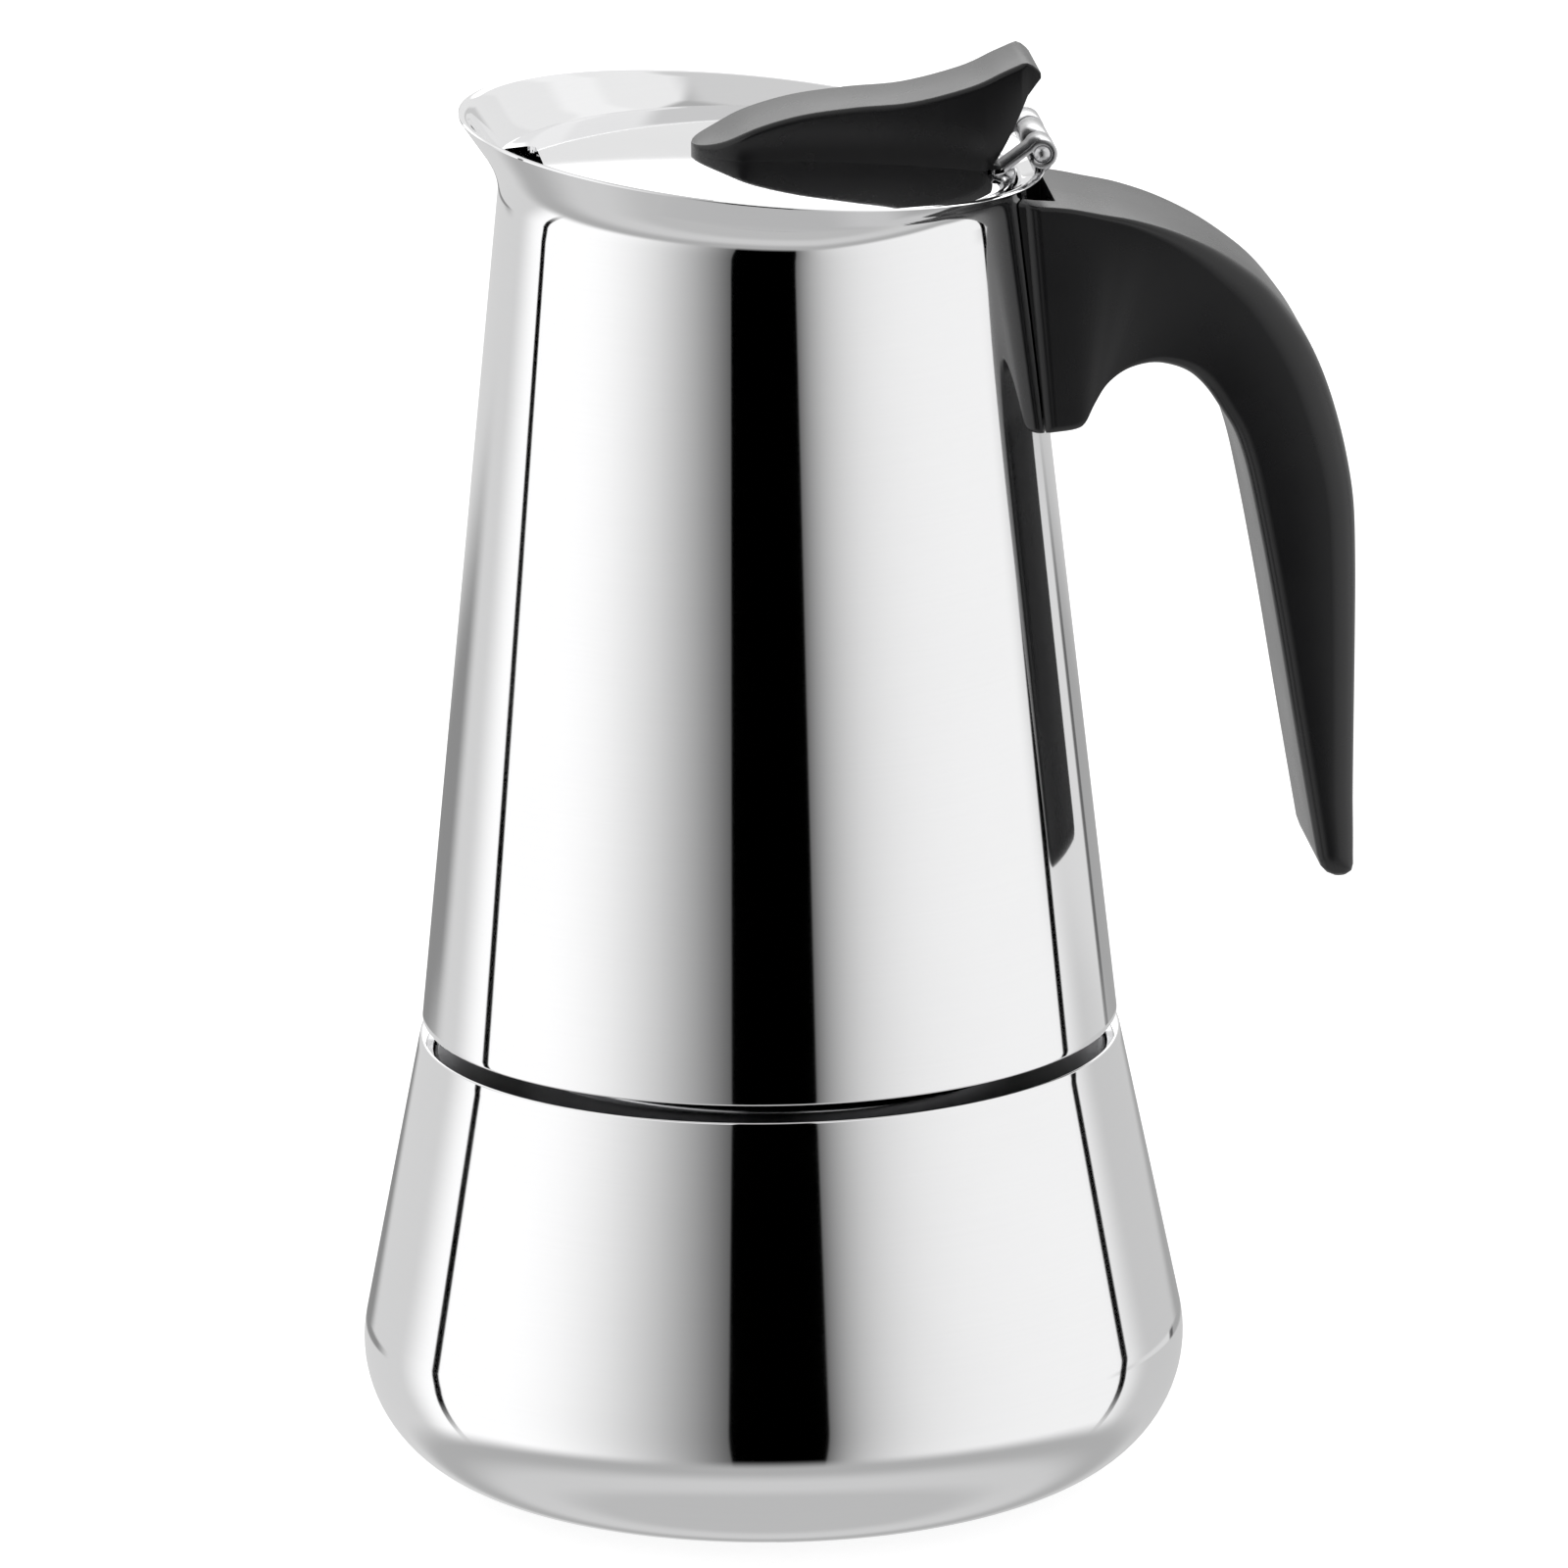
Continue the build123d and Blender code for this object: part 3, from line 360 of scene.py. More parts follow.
# ---------------------------------------------------------------- modelling helpers
class Shape:
    """A mesh in the making, in millimetres, with a pen that draws in the XZ plane."""

    def __init__(self, *points: Point) -> None:
        """Starts a mesh, with straight lines through the points."""
        self.bm = bmesh.new()
        self.drawn: list[bmesh.types.BMVert] = []
        self.line(*points)

    def line(self, *points: Point) -> "Shape":
        """Draws straight lines on through the points.

        Args:
            points: the points, each with its x and z.

        Returns:
            The shape.
        """
        for x, z in points:
            self.drawn.append(self.bm.verts.new((x, 0, z)))
            if len(self.drawn) > 1:
                self.bm.edges.new(self.drawn[-2:])
        return self

    def arc(self, centre: Point, degrees: float, steps: int) -> "Shape":
        """Draws an arc on from the pen's place.

        Args:
            centre: centre of the arc.
            degrees: turn, from +X towards +Z when positive.
            steps: number of edges.

        Returns:
            The shape itself.
        """
        middle, axis, turn = (centre[0], 0, centre[1]), (0, -1, 0), math.radians(degrees)
        made = bmesh.ops.spin(self.bm, geom=self.drawn[-1:], cent=middle, axis=axis, angle=turn, steps=steps)
        self.drawn.append(next(item for item in made["geom_last"] if isinstance(item, bmesh.types.BMVert)))
        return self

    def spin(self, steps: int) -> "Shape":
        """Turns everything drawn so far a full turn round the Z axis.

        Args:
            steps: facets round the turn.

        Returns:
            The shape itself.
        """
        bm, zero, axis, turn = self.bm, (0, 0, 0), (0, 0, 1), 2 * math.pi
        geom = bm.verts[:] + bm.edges[:]
        bmesh.ops.spin(bm, geom=geom, cent=zero, axis=axis, angle=turn, steps=steps, use_merge=True)
        bmesh.ops.remove_doubles(bm, verts=bm.verts[:], dist=1e-4)
        bmesh.ops.dissolve_degenerate(bm, edges=bm.edges[:], dist=1e-5)
        return self.outwards()

    def turned(self, steps: int) -> "Shape":
        """Closes the line that was drawn, and turns it round the Z axis."""
        self.bm.edges.new((self.drawn[-1], self.drawn[0]))
        return self.spin(steps)

    def outwards(self) -> "Shape":
        """Turns all faces outwards."""
        bmesh.ops.recalc_face_normals(self.bm, faces=self.bm.faces[:])
        return self

    def place(self, matrix: Matrix) -> "Shape":
        """Moves the whole shape."""
        bmesh.ops.transform(self.bm, matrix=matrix, verts=self.bm.verts[:])
        return self

    def bevel(self, geom: Sequence, radius: float, segments: int, **options: object) -> None:
        """Rounds edges, or corners if the options say so."""
        settings = {"offset_type": "OFFSET", "profile": 0.5, "affect": "EDGES", "material": -1, **options}
        bmesh.ops.bevel(self.bm, geom=geom, offset=radius, segments=segments, **settings)

    def soften(self, width: float, segments: int = 2) -> "Shape":
        """Rounds the sharp edges.

        Args:
            width: width of the rounding.
            segments: strips across it.

        Returns:
            The shape itself.
        """
        self.bm.normal_update()
        inner = [edge for edge in self.bm.edges if len(edge.link_faces) == 2]
        sharp = [edge for edge in inner if edge.calc_face_angle(0.0) > SHARP_ANGLE]
        self.bevel(sharp, width, segments, clamp_overlap=True)
        return self

    def prism(self, x: float, radius: float, low: float, high: float, sides: int) -> "Shape":
        """Adds an upright prism between two heights.

        Args:
            x: place of its axis.
            radius: distance from its axis to its edges.
            low: height of its underside.
            high: height of its top.
            sides: number of sides.

        Returns:
            The shape.
        """
        size = {"radius1": radius, "radius2": radius, "depth": high - low}
        middle = Matrix.Translation((x, 0, (low + high) / 2))
        bmesh.ops.create_cone(self.bm, cap_ends=True, segments=sides, matrix=middle, **size)
        return self

    def bridge(self, rings: Sequence[Ring], closed: bool = False) -> "Shape":
        """Joins rings of edges with faces.

        Args:
            rings: the rings, in order.
            closed: True joins the last ring to the first, False fills both of them.

        Returns:
            The shape itself.
        """
        following = [*rings[1:], rings[0]] if closed else rings[1:]
        for first, second in zip(rings, following):
            bmesh.ops.bridge_loops(self.bm, edges=first + second)
        for ring in () if closed else (rings[0], rings[-1]):
            bmesh.ops.edgeloop_fill(self.bm, edges=ring)
        return self.outwards()

    def rounded_ring(
        self, matrix: Matrix, half_width: float, low: float, high: float, low_round: float, high_round: float
    ) -> Ring:
        """Draws a rectangle with rounded corners in the YZ plane of a matrix.

        Args:
            matrix: place of the ring.
            half_width: half its width, along Y.
            low: height of its lower side.
            high: height of its upper side.
            low_round: radius of the lower corners.
            high_round: radius of the upper corners.

        Returns:
            The ring's edges.
        """
        before = set(self.bm.edges)
        corners = [(-half_width, low), (half_width, low), (half_width, high), (-half_width, high)]
        verts = [self.bm.verts.new(matrix @ Vector((0, y, z))) for y, z in corners]
        for pair in zip(verts, verts[1:] + verts[:1]):
            self.bm.edges.new(pair)
        self.bevel(verts[:2], low_round, CORNER_STEPS, affect="VERTICES")
        self.bevel(verts[2:], high_round, CORNER_STEPS, affect="VERTICES")
        return [edge for edge in self.bm.edges if edge not in before]

    def oval_ring(self, matrix: Matrix, half_length: float, half_width: float) -> Ring:
        """Draws an ellipse in the XY plane of a matrix.

        Args:
            matrix: place of the ring.
            half_length: half its length, along X.
            half_width: half its width, along Y.

        Returns:
            The ring's edges.
        """
        place = matrix @ Matrix.Diagonal((half_length, half_width, 1, 1))
        made = bmesh.ops.create_circle(self.bm, segments=ROUND_STEPS, radius=1.0, matrix=place)
        return list({edge for vert in made["verts"] for edge in vert.link_edges})

    def item(self, name: str, scale: float = MM) -> bpy.types.Object:
        """Puts the mesh into the scene.

        Args:
            name: name of the object.
            scale: metres in a unit of the shape.

        Returns:
            The object.
        """
        self.place(Matrix.Diagonal((scale, scale, scale, 1)))
        mesh = bpy.data.meshes.new(name)
        self.bm.to_mesh(mesh)
        self.bm.free()
        item = bpy.data.objects.new(name, mesh)
        bpy.context.scene.collection.objects.link(item)
        return item

    def piece(
        self, name: str, body: str, finish: Finish, *replaces: str, smooth_limit: float = 32.0
    ) -> bpy.types.Object:
        """Makes the finished object.

        Args:
            name: name of the piece.
            body: the body that it rides on.
            finish: its finish.
            replaces: CAD nodes that it stands for.
            smooth_limit: edges below this many degrees are shaded smooth.

        Returns:
            The object.
        """
        item = self.item(name)
        item.data.shade_smooth()
        item.data.set_sharp_from_angle(angle=math.radians(smooth_limit))
        dress(item, finish)
        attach(item, body)
        for node in replaces:
            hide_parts(node)
        LOG.info("%s: %d faces, on %s", name, len(item.data.polygons), body)
        return item


def tilted(x: float, z: float, tilt: float) -> Matrix:
    """Frame at (x, 0, z) whose plane rises towards the spout by the tilt in degrees."""
    return Matrix.Translation((x, 0, z)) @ Matrix.Rotation(math.radians(tilt), 4, "Y")


def on_circle(centre: Point, radius: float, degrees: float) -> Point:
    """Point on a circle in the XZ plane."""
    angle = math.radians(degrees)
    return centre[0] + radius * math.cos(angle), centre[1] + radius * math.sin(angle)


def spline(t: float, a: float, b: float, c: float, d: float) -> float:
    """Value at a share of the way from b to c, on a smooth curve through all four."""
    return 0.5 * (2 * b + (c - a) * t + (2 * a - 5 * b + 4 * c - d) * t**2 + (3 * b - a - 3 * c + d) * t**3)


def smooth_line(points: Sequence[Sequence[float]], per_span: int) -> list[tuple[float, ...]]:
    """Points of a smooth curve through the given ones.

    Args:
        points: rows of numbers that the curve passes.
        per_span: steps between two of them.

    Returns:
        The denser rows.
    """
    rows = []
    padded = [points[0], *points, points[-1]]
    for around in zip(padded, padded[1:], padded[2:], padded[3:]):
        for step in range(per_span):
            rows.append(tuple(spline(step / per_span, *numbers) for numbers in zip(*around)))
    rows.append(tuple(points[-1]))
    return rows


def bent_sheet(path: Sequence[Point], low: float, high: float, thick: float) -> Shape:
    """Bent strip of sheet metal across the Y axis, with softened edges.

    Args:
        path: its side view in the XZ plane; the thickness lies to the right of it.
        low: Y of one edge.
        high: Y of the other.
        thick: sheet thickness.

    Returns:
        The shape.
    """
    shape = Shape(*path).place(Matrix.Translation((0, low, 0)))
    made = bmesh.ops.extrude_edge_only(shape.bm, edges=shape.bm.edges[:])
    moved = [item for item in made["geom"] if isinstance(item, bmesh.types.BMVert)]
    bmesh.ops.translate(shape.bm, verts=moved, vec=(0, high - low, 0))
    shape.bm.normal_update()
    bmesh.ops.solidify(shape.bm, geom=shape.bm.faces[:], thickness=thick)
    return shape.outwards().soften(0.12)


def box_cutter(x: Point, half_width: float, z: Point, corner: float) -> Shape:
    """Box with rounded upright edges.

    Args:
        x: its reach along X.
        half_width: half its width, along Y.
        z: its reach in height.
        corner: radius of the upright edges.

    Returns:
        The shape.
    """
    shape = Shape()
    place = Matrix.Translation((sum(x) / 2, 0, sum(z) / 2))
    place = place @ Matrix.Diagonal((x[1] - x[0], 2 * half_width, z[1] - z[0], 1))
    bmesh.ops.create_cube(shape.bm, size=1.0, matrix=place)
    tall = (z[1] - z[0]) / 2
    upright = [edge for edge in shape.bm.edges if abs(edge.verts[0].co.z - edge.verts[1].co.z) > tall]
    shape.bevel(upright, corner, CORNER_STEPS)
    return shape


def carve(piece: bpy.types.Object, finish: Finish, *cutters: Shape) -> None:
    """Cuts shapes out of a piece.

    Args:
        piece: what is cut.
        finish: finish of the cut piece.
        cutters: closed shapes.
    """
    for index, cutter in enumerate(cutters):
        tool = cutter.item(f"{piece.name}_cut_{index}")
        difference = piece.modifiers.new(tool.name, "BOOLEAN")
        difference.operation, difference.solver, difference.object = "DIFFERENCE", "EXACT", tool
        bpy.context.view_layer.update()
        graph = bpy.context.evaluated_depsgraph_get()
        made = bpy.data.meshes.new_from_object(piece.evaluated_get(graph))
        piece.modifiers.clear()
        piece.data = made
        bpy.data.objects.remove(tool)
    piece.data.name = piece.name
    dress(piece, finish)


# ---------------------------------------------------------------- boiler
@dataclass
class Boiler:
    """Flared water chamber with its threaded collar."""

    radius: float = 50.0
    belly_round: float = 15.8
    taper: float = 11.4
    shoulder: float = 54.4
    shoulder_round: float = 0.3
    plate_step: float = 1.5
    plate_gap: float = 0.05
    wall: float = 1.2
    support_shares: Numbers = (0.012, 0.25, 0.5, 0.75, 0.97)
    collar_outer: float = 31.0
    collar_inner: float = 28.8
    collar_rise: float = 8.5
    flange: float = 3.0
    flange_thick: float = 1.5
    thread_pitch: float = 3.5
    thread_depth: float = 0.7
    thread_fade: float = 0.8
    thread_rows: int = 26

    def wall_radius(self, height: float, inset: float = 0.0) -> float:
        """Radius of the straight wall at a height, moved in by the inset.

        Args:
            height: the height.
            inset: distance inside the outer wall.

        Returns:
            The radius.
        """
        lean = math.radians(self.taper)
        reach = self.belly_round - inset
        tangent_radius = self.radius - self.belly_round + reach * math.cos(lean)
        tangent_height = self.belly_round + reach * math.sin(lean)
        return tangent_radius - (height - tangent_height) * math.tan(lean)

    def build(self) -> None:
        """Builds the chamber, its base plate and its collar."""
        self._shell()
        self._plate()
        self._collar()

    def _shell(self) -> None:
        """Spins the chamber, with an open top."""
        top, lean, turn = self.shoulder, math.radians(self.taper), 90 - self.taper
        centre = (self.radius - self.belly_round, self.belly_round)
        hole = centre[0] - self.plate_step
        slide = self.shoulder_round * math.tan(math.radians(turn) / 2)
        corner = self.wall_radius(top)
        side = (corner + slide * math.sin(lean), top - slide * math.cos(lean))
        foot_z = self.belly_round * (1 + math.sin(lean))
        foot = self.wall_radius(foot_z)
        shape = Shape((hole - self.plate_step, 0.0), (centre[0], 0.0)).arc(centre, 90 + self.taper, 28)
        for share in (*self.support_shares, 1.0):
            shape.line((foot + (side[0] - foot) * share, foot_z + (side[1] - foot_z) * share))
        shape.arc((corner - slide, top - self.shoulder_round), turn, 8)
        neck, inner_top = self.collar_outer + 0.05, top - self.wall
        shape.line((neck + 0.4, top), (neck, top - 0.4), (neck, inner_top))
        shape.line((self.wall_radius(inner_top, self.wall), inner_top))
        inner_foot = on_circle(centre, self.belly_round - self.wall, self.taper)
        shape.line(inner_foot).arc(centre, -90 - self.taper, 20)
        shape.line((hole, self.wall), (hole, self.wall / 2), (hole - self.plate_step, self.wall / 2))
        shape.turned(Steps.SHELL).piece("boiler_body", "boiler", Finish.MIRROR, "boiler_shell")

    def _plate(self) -> None:
        """Builds the stepped base plate that is set into the shell's underside."""
        wide = self.radius - self.belly_round - self.plate_step - self.plate_gap
        narrow, half = wide - self.plate_step, self.wall / 2
        shape = Shape((0.0, 0.0), (narrow - 0.1, 0.0), (narrow, 0.1), (narrow, half), (wide, half))
        shape.line((wide, self.wall), (0.0, self.wall)).spin(Steps.BASE)
        shape.piece("boiler_plate", "boiler", Finish.MIRROR, "boiler_base")

    def _collar(self) -> None:
        """Builds the collar, with a rolled thread cut into its outside."""
        outer, inner, top = self.collar_outer, self.collar_inner, self.shoulder + self.collar_rise
        flange_top = self.shoulder - self.wall
        flange_low, flange = flange_top - self.flange_thick, outer + self.flange
        low, high = self.shoulder + 0.3, top - 1.2
        shape = Shape((inner, flange_low), (flange, flange_low), (flange, flange_top), (outer, flange_top))
        for row in range(self.thread_rows + 1):
            shape.line((outer, low + (high - low) * row / self.thread_rows))
        shape.line((outer - 0.7, top - 0.15), (outer - 1.0, top), (inner + 0.2, top), (inner, top - 0.2))
        shape.turned(Steps.THREAD)
        for vert in shape.bm.verts:
            x, y, z = vert.co
            reach = math.hypot(x, y)
            if abs(reach - outer) > 0.01 or not low - 0.01 < z < high + 0.01:
                continue
            phase = z / self.thread_pitch - math.atan2(y, x) / (2 * math.pi)
            fade = max(min(1.0, (z - low) / self.thread_fade, (high - z) / self.thread_fade), 0.0)
            depth = self.thread_depth * fade * (0.5 - 0.5 * math.cos(2 * math.pi * phase)) ** 1.5
            vert.co.x *= (reach - depth) / reach
            vert.co.y *= (reach - depth) / reach
        shape.piece("boiler_thread", "boiler", Finish.TURNED, "boiler_collar")


# ---------------------------------------------------------------- safety valve
@dataclass
class SafetyValve:
    """Brass valve square to the boiler's wall, on the +Y side."""

    height: float = 38.0
    body_radius: float = 4.0
    flats: float = 12.0
    hex_low: float = 1.0
    hex_high: float = 5.0
    nose_top: float = 8.4
    inner_end: float = -7.0
    floor: float = 1.6
    bore: float = 2.6
    seat: float = 1.5
    stem: float = 1.0
    washer_bore: float = 4.05
    washer_radius: float = 6.0
    coil: float = 1.8
    coil_low: float = -3.35
    coil_high: float = 7.15
    coil_turns: int = 5
    turn_steps: int = 24
    wire_sides: int = 10
    wire: float = 0.45
    travel: float = 1.5

    def build(self, boiler: Boiler) -> None:
        """Builds the valve.

        Args:
            boiler: the chamber that carries it.
        """
        lean = math.radians(boiler.taper)
        place = Matrix.Translation((0, boiler.wall_radius(self.height), self.height))
        place = place @ Matrix.Rotation(lean - math.pi / 2, 4, "X")
        body, end, top, floor = self.body_radius, self.inner_end, self.nose_top, self.inner_end + self.floor
        tube = Shape((self.seat, end), (body, end), (body, self.hex_high), (body, top - 0.4))
        tube.line((body - 0.4, top), (self.bore, top), (self.bore, floor), (self.seat, floor))
        hexagon = Shape().prism(0, self.flats / math.sqrt(3), self.hex_low, self.hex_high, 6).soften(0.35, 3)
        inner, outer = self.washer_bore, self.washer_radius
        washer = Shape((inner, 0.0), (outer - 0.2, 0.0), (outer, 0.2), (outer, 0.8))
        washer.line((outer - 0.2, 1.0), (inner, 1.0))
        ring = Shape((1.05, top - 0.8), (2.55, top - 0.8), (2.55, top - 0.25), (2.35, top), (1.2, top))
        ring.line((1.05, top - 0.15))
        low = floor + 0.05
        pin = Shape((0.0, low), (2.0, low), (2.2, low + 0.2), (2.2, low + 1.35), (2.0, low + 1.55))
        pin.line((self.stem, low + 1.55), (self.stem, top + 1.4), (0.85, top + 1.8))
        pin.line((0.5, top + 2.0), (0.0, top + 2.0))
        tube.turned(Steps.TUBE).place(place).piece("valve_tube", "boiler", Finish.BRASS, "valve_body")
        hexagon.place(place).piece("valve_hexagon", "boiler", Finish.BRASS)
        washer.turned(Steps.TUBE).place(place).piece("valve_seal", "boiler", Finish.SILICONE, "valve_washer")
        ring.turned(Steps.RING).place(place).piece("valve_end_ring", "boiler", Finish.BRASS, "valve_cap")
        pin.spin(Steps.PIN).place(place).piece("valve_pin", "valve", Finish.BRASS, "valve_plunger")
        self._spring(place)

    def _spring(self, place: Matrix) -> None:
        """Winds the wire coil round the stem.

        Args:
            place: frame of the valve.
        """
        shape, steps = Shape(), self.turn_steps * self.coil_turns
        stand = Matrix.Translation((self.coil, 0, self.coil_low)) @ Matrix.Rotation(math.pi / 2, 4, "X")
        bmesh.ops.create_circle(shape.bm, segments=self.wire_sides, radius=self.wire / 2, matrix=stand)
        rise = (0, 0, (self.coil_high - self.coil_low) / steps)
        turn, up, geom = 2 * math.pi * self.coil_turns, (0, 0, 1), shape.bm.edges[:]
        bmesh.ops.spin(shape.bm, geom=geom, cent=(0, 0, 0), axis=up, dvec=rise, angle=turn, steps=steps)
        ends = [edge for edge in shape.bm.edges if edge.is_boundary]
        bmesh.ops.holes_fill(shape.bm, edges=ends, sides=0)
        coil = shape.outwards().place(place)
        spring = coil.piece("valve_coil", "boiler", Finish.WIRE, "valve_spring", smooth_limit=60.0)
        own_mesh(spring)


# ---------------------------------------------------------------- funnel and seal
@dataclass
class Funnel:
    """Coffee funnel with its stem, and the seal above it."""

    radius: float = 26.5
    seat: float = 63.4
    floor: float = 39.4
    throat: float = 32.4
    wall: float = 0.6
    rim: float = 30.7
    rim_thick: float = 0.8
    stem: float = 4.2
    stem_low: float = 6.0
    stem_gap: float = 0.05
    sleeve: float = 5.0
    gasket_bore: float = 23.0
    gasket_low: float = 64.3
    gasket_high: float = 67.3
    gasket_edge: float = 0.4
    ledge: float = 3.0
    ledge_drop: float = 0.55

    def build(self) -> None:
        """Builds the funnel and the seal."""
        self._basket()
        inner, outer, low = self.stem - self.wall, self.stem, self.stem_low
        stem = Shape((inner, low), (outer - 0.15, low), (outer, low + 0.15), (outer, self.throat))
        stem.line((inner, self.throat)).turned(Steps.TUBE)
        stem.piece("funnel_tube", "funnel", Finish.SATIN, "funnel_stem")
        inner, outer, edge = self.gasket_bore, self.rim, self.gasket_edge
        low, high, step = self.gasket_low, self.gasket_high, self.gasket_bore + self.ledge
        seal = Shape((inner, low + edge), (inner + edge, low), (outer - edge, low), (outer, low + edge))
        seal.line((outer, high - edge), (outer - edge, high), (step, high))
        seal.line((step, high - self.ledge_drop), (inner, high - self.ledge_drop))
        seal.turned(Steps.CUP).piece("jug_seal", "gasket", Finish.SILICONE, "gasket")

    def _basket(self) -> None:
        """Turns the cup with its rim, cone and sleeve."""
        bore = self.stem + self.stem_gap
        sleeve, inner = bore + self.wall, self.radius - self.wall
        rise = self.wall * math.tan(math.atan((self.radius - sleeve) / (self.floor - self.throat)) / 2)
        outer, rim, floor, throat, seat = self.radius, self.rim, self.floor, self.throat, self.seat
        low, high = throat - self.sleeve, seat + self.rim_thick
        shape = Shape((outer, seat), (outer, floor + 1.2), (outer - 0.35, floor + 0.35))
        shape.line((outer - 1.2, floor - 0.3), (sleeve + 0.8, throat + 0.25), (sleeve, throat - 0.4))
        shape.line((sleeve, low), (bore, low))
        shape.line((bore, throat + rise), (inner - 0.6, floor + rise - 0.18), (inner, floor + rise + 0.5))
        shape.line((inner, high - 0.5), (inner + 0.5, high), (rim - 0.25, high), (rim, high - 0.25))
        shape.line((rim, seat + 0.25), (rim - 0.25, seat), (outer + 0.3, seat)).turned(Steps.CUP)
        shape.piece("funnel_cup", "funnel", Finish.SATIN, "funnel_basket")


# ---------------------------------------------------------------- jug
@dataclass
class Jug:
    """Conical jug with its slanted, flared rim, its floor and the riser."""

    base: float = 56.8
    foot: float = 56.3
    base_radius: float = 42.2
    base_round: float = 0.3
    taper: float = 5.94
    wall: float = 1.0
    neck: float = 160.0
    neck_tilt: float = 3.0
    tilt_from: float = 62.0
    crease_low: float = 2.3
    crease_high: float = 0.38
    crease_steps: int = 8
    lift_rate: float = 0.11
    lift_from: float = 3.0
    lift_most: float = 1.6
    lift_low: float = 128.0
    rim: float = 165.4
    rim_tilt: float = 6.2
    rim_offset: float = -0.9
    rim_length: float = 35.4
    rim_width: float = 36.2
    flare_steps: int = 8
    flare_end: float = 0.96
    flare_power: float = 1.08
    wall_heights: Numbers = (57.1, 62.0, 74.0, 88.0, 102.0, 116.0, 130.0, 138.0, 144.0, 149.0, 153.0, 156.0)
    gap_heights: Numbers = (110.0, 120.0, 130.0, 137.0, 144.0, 150.0, 155.0)
    # share of the flare, inset
    rim_edge: Rows = ((0.985, 0.12), (1.0, 0.35), (1.0, 0.65), (0.985, 0.88))
    floor_low: float = 67.4
    floor_high: float = 68.6
    flange_thick: float = 1.2
    thread_bore: float = 31.3
    skirt: float = 2.0
    riser_bore: float = 7.8
    riser_foot: float = 11.5
    riser_top: float = 130.6

    @property
    def slope(self) -> float:
        """Slope of the wall."""
        return math.tan(math.radians(self.taper))

    def cone_radius(self, height: float, inset: float = 0.0) -> float:
        """Radius of the cone at a height, moved in by the inset."""
        return self.base_radius - (height - self.base) * self.slope - inset

    def cone_section(self, height: float, tilt: float, inset: float) -> Section:
        """Ellipse where a tilted plane cuts the cone.

        Args:
            height: height of the plane on the axis.
            tilt: its tilt in degrees.
            inset: distance inside the outer cone.

        Returns:
            The ellipse's centre x and z, tilt, half length and half width.
        """
        lean, radius = math.radians(tilt), self.cone_radius(height, inset)
        slope = self.slope * math.tan(lean)
        far, near = radius / (1 - slope), radius / (1 + slope)
        centre = (far - near) / 2
        width = math.sqrt((radius + slope * centre) ** 2 - centre**2)
        return centre, height - centre * math.tan(lean), tilt, (far + near) / 2 / math.cos(lean), width

    def flare_section(self, share: float, inset: float) -> Section:
        """Ellipse at a share of the way from the neck to the rim.

        Args:
            share: 0 at the neck, 1 at the rim.
            inset: distance inside the outer face.

        Returns:
            The ellipse's centre x and z, tilt, half length and half width.
        """
        neck = self.cone_section(self.neck, self.neck_tilt, inset)
        rim_length = self.rim_length / math.cos(math.radians(self.rim_tilt)) - inset
        rim = (self.rim_offset, self.rim, self.rim_tilt, rim_length, self.rim_width - inset)
        shares = (share,) * 3 + (share**self.flare_power,) * 2
        return tuple(a + (b - a) * part for a, b, part in zip(neck, rim, shares))

    def ring(self, shape: Shape, section: Section, lift: float = 0.0) -> Ring:
        """Draws a section, lifted on the handle's side.

        Args:
            shape: the mesh that is drawn in.
            section: the ellipse.
            lift: share of the full lift.

        Returns:
            The ring's edges.
        """
        x, z, tilt, length, width = section
        edges = shape.oval_ring(tilted(x, z, tilt), length, width)
        for vert in {vert for edge in edges for vert in edge.verts}:
            past = max(vert.co.x - self.lift_from, 0.0)
            rise = lift * min(self.lift_rate * past**2 / (past + 2.0), self.lift_most)
            shrink = 1 - self.slope * rise / math.hypot(vert.co.x, vert.co.y)
            vert.co = Vector((vert.co.x * shrink, vert.co.y * shrink, vert.co.z + rise))
        return edges

    def wall_rings(self, shape: Shape, inset: float, heights: Sequence[float]) -> list[Ring]:
        """Rings of one face of the wall, up to just under the rim.

        Args:
            shape: the mesh that is drawn in.
            inset: distance inside the outer face.
            heights: heights of the rings on the cone.

        Returns:
            The rings, from below.
        """
        rings = []
        for height in heights:
            tilt = self.neck_tilt * max(height - self.tilt_from, 0.0) / (self.neck - self.tilt_from)
            lift = max((height - self.lift_low) / (self.neck - self.lift_low), 0.0) ** 2
            rings.append(self.ring(shape, self.cone_section(height, tilt, inset), lift))
        low = self.cone_section(self.neck - self.crease_low, self.neck_tilt, inset)
        middle = self.cone_section(self.neck, self.neck_tilt, inset)
        high = self.flare_section(self.crease_high, inset)
        for step in range(self.crease_steps + 1):
            t = step / self.crease_steps
            blend = ((1 - t) ** 2, 2 * t * (1 - t), t**2)
            section = tuple(sum(a * b for a, b in zip(blend, parts)) for parts in zip(low, middle, high))
            rings.append(self.ring(shape, section, 1.0 - self.crease_high * t**2))
        for step in range(1, self.flare_steps + 1):
            share = self.crease_high + (self.flare_end - self.crease_high) * step / self.flare_steps
            rings.append(self.ring(shape, self.flare_section(share, inset), 1.0 - share))
        return rings

    def envelope(self, gap: float) -> Shape:
        """Fills the upper jug, and stands off its wall by the gap.

        Args:
            gap: the gap.

        Returns:
            The solid.
        """
        shape = Shape()
        rings = self.wall_rings(shape, -gap, self.gap_heights)
        return shape.bridge([*rings, self.ring(shape, self.flare_section(1.0, -gap))])

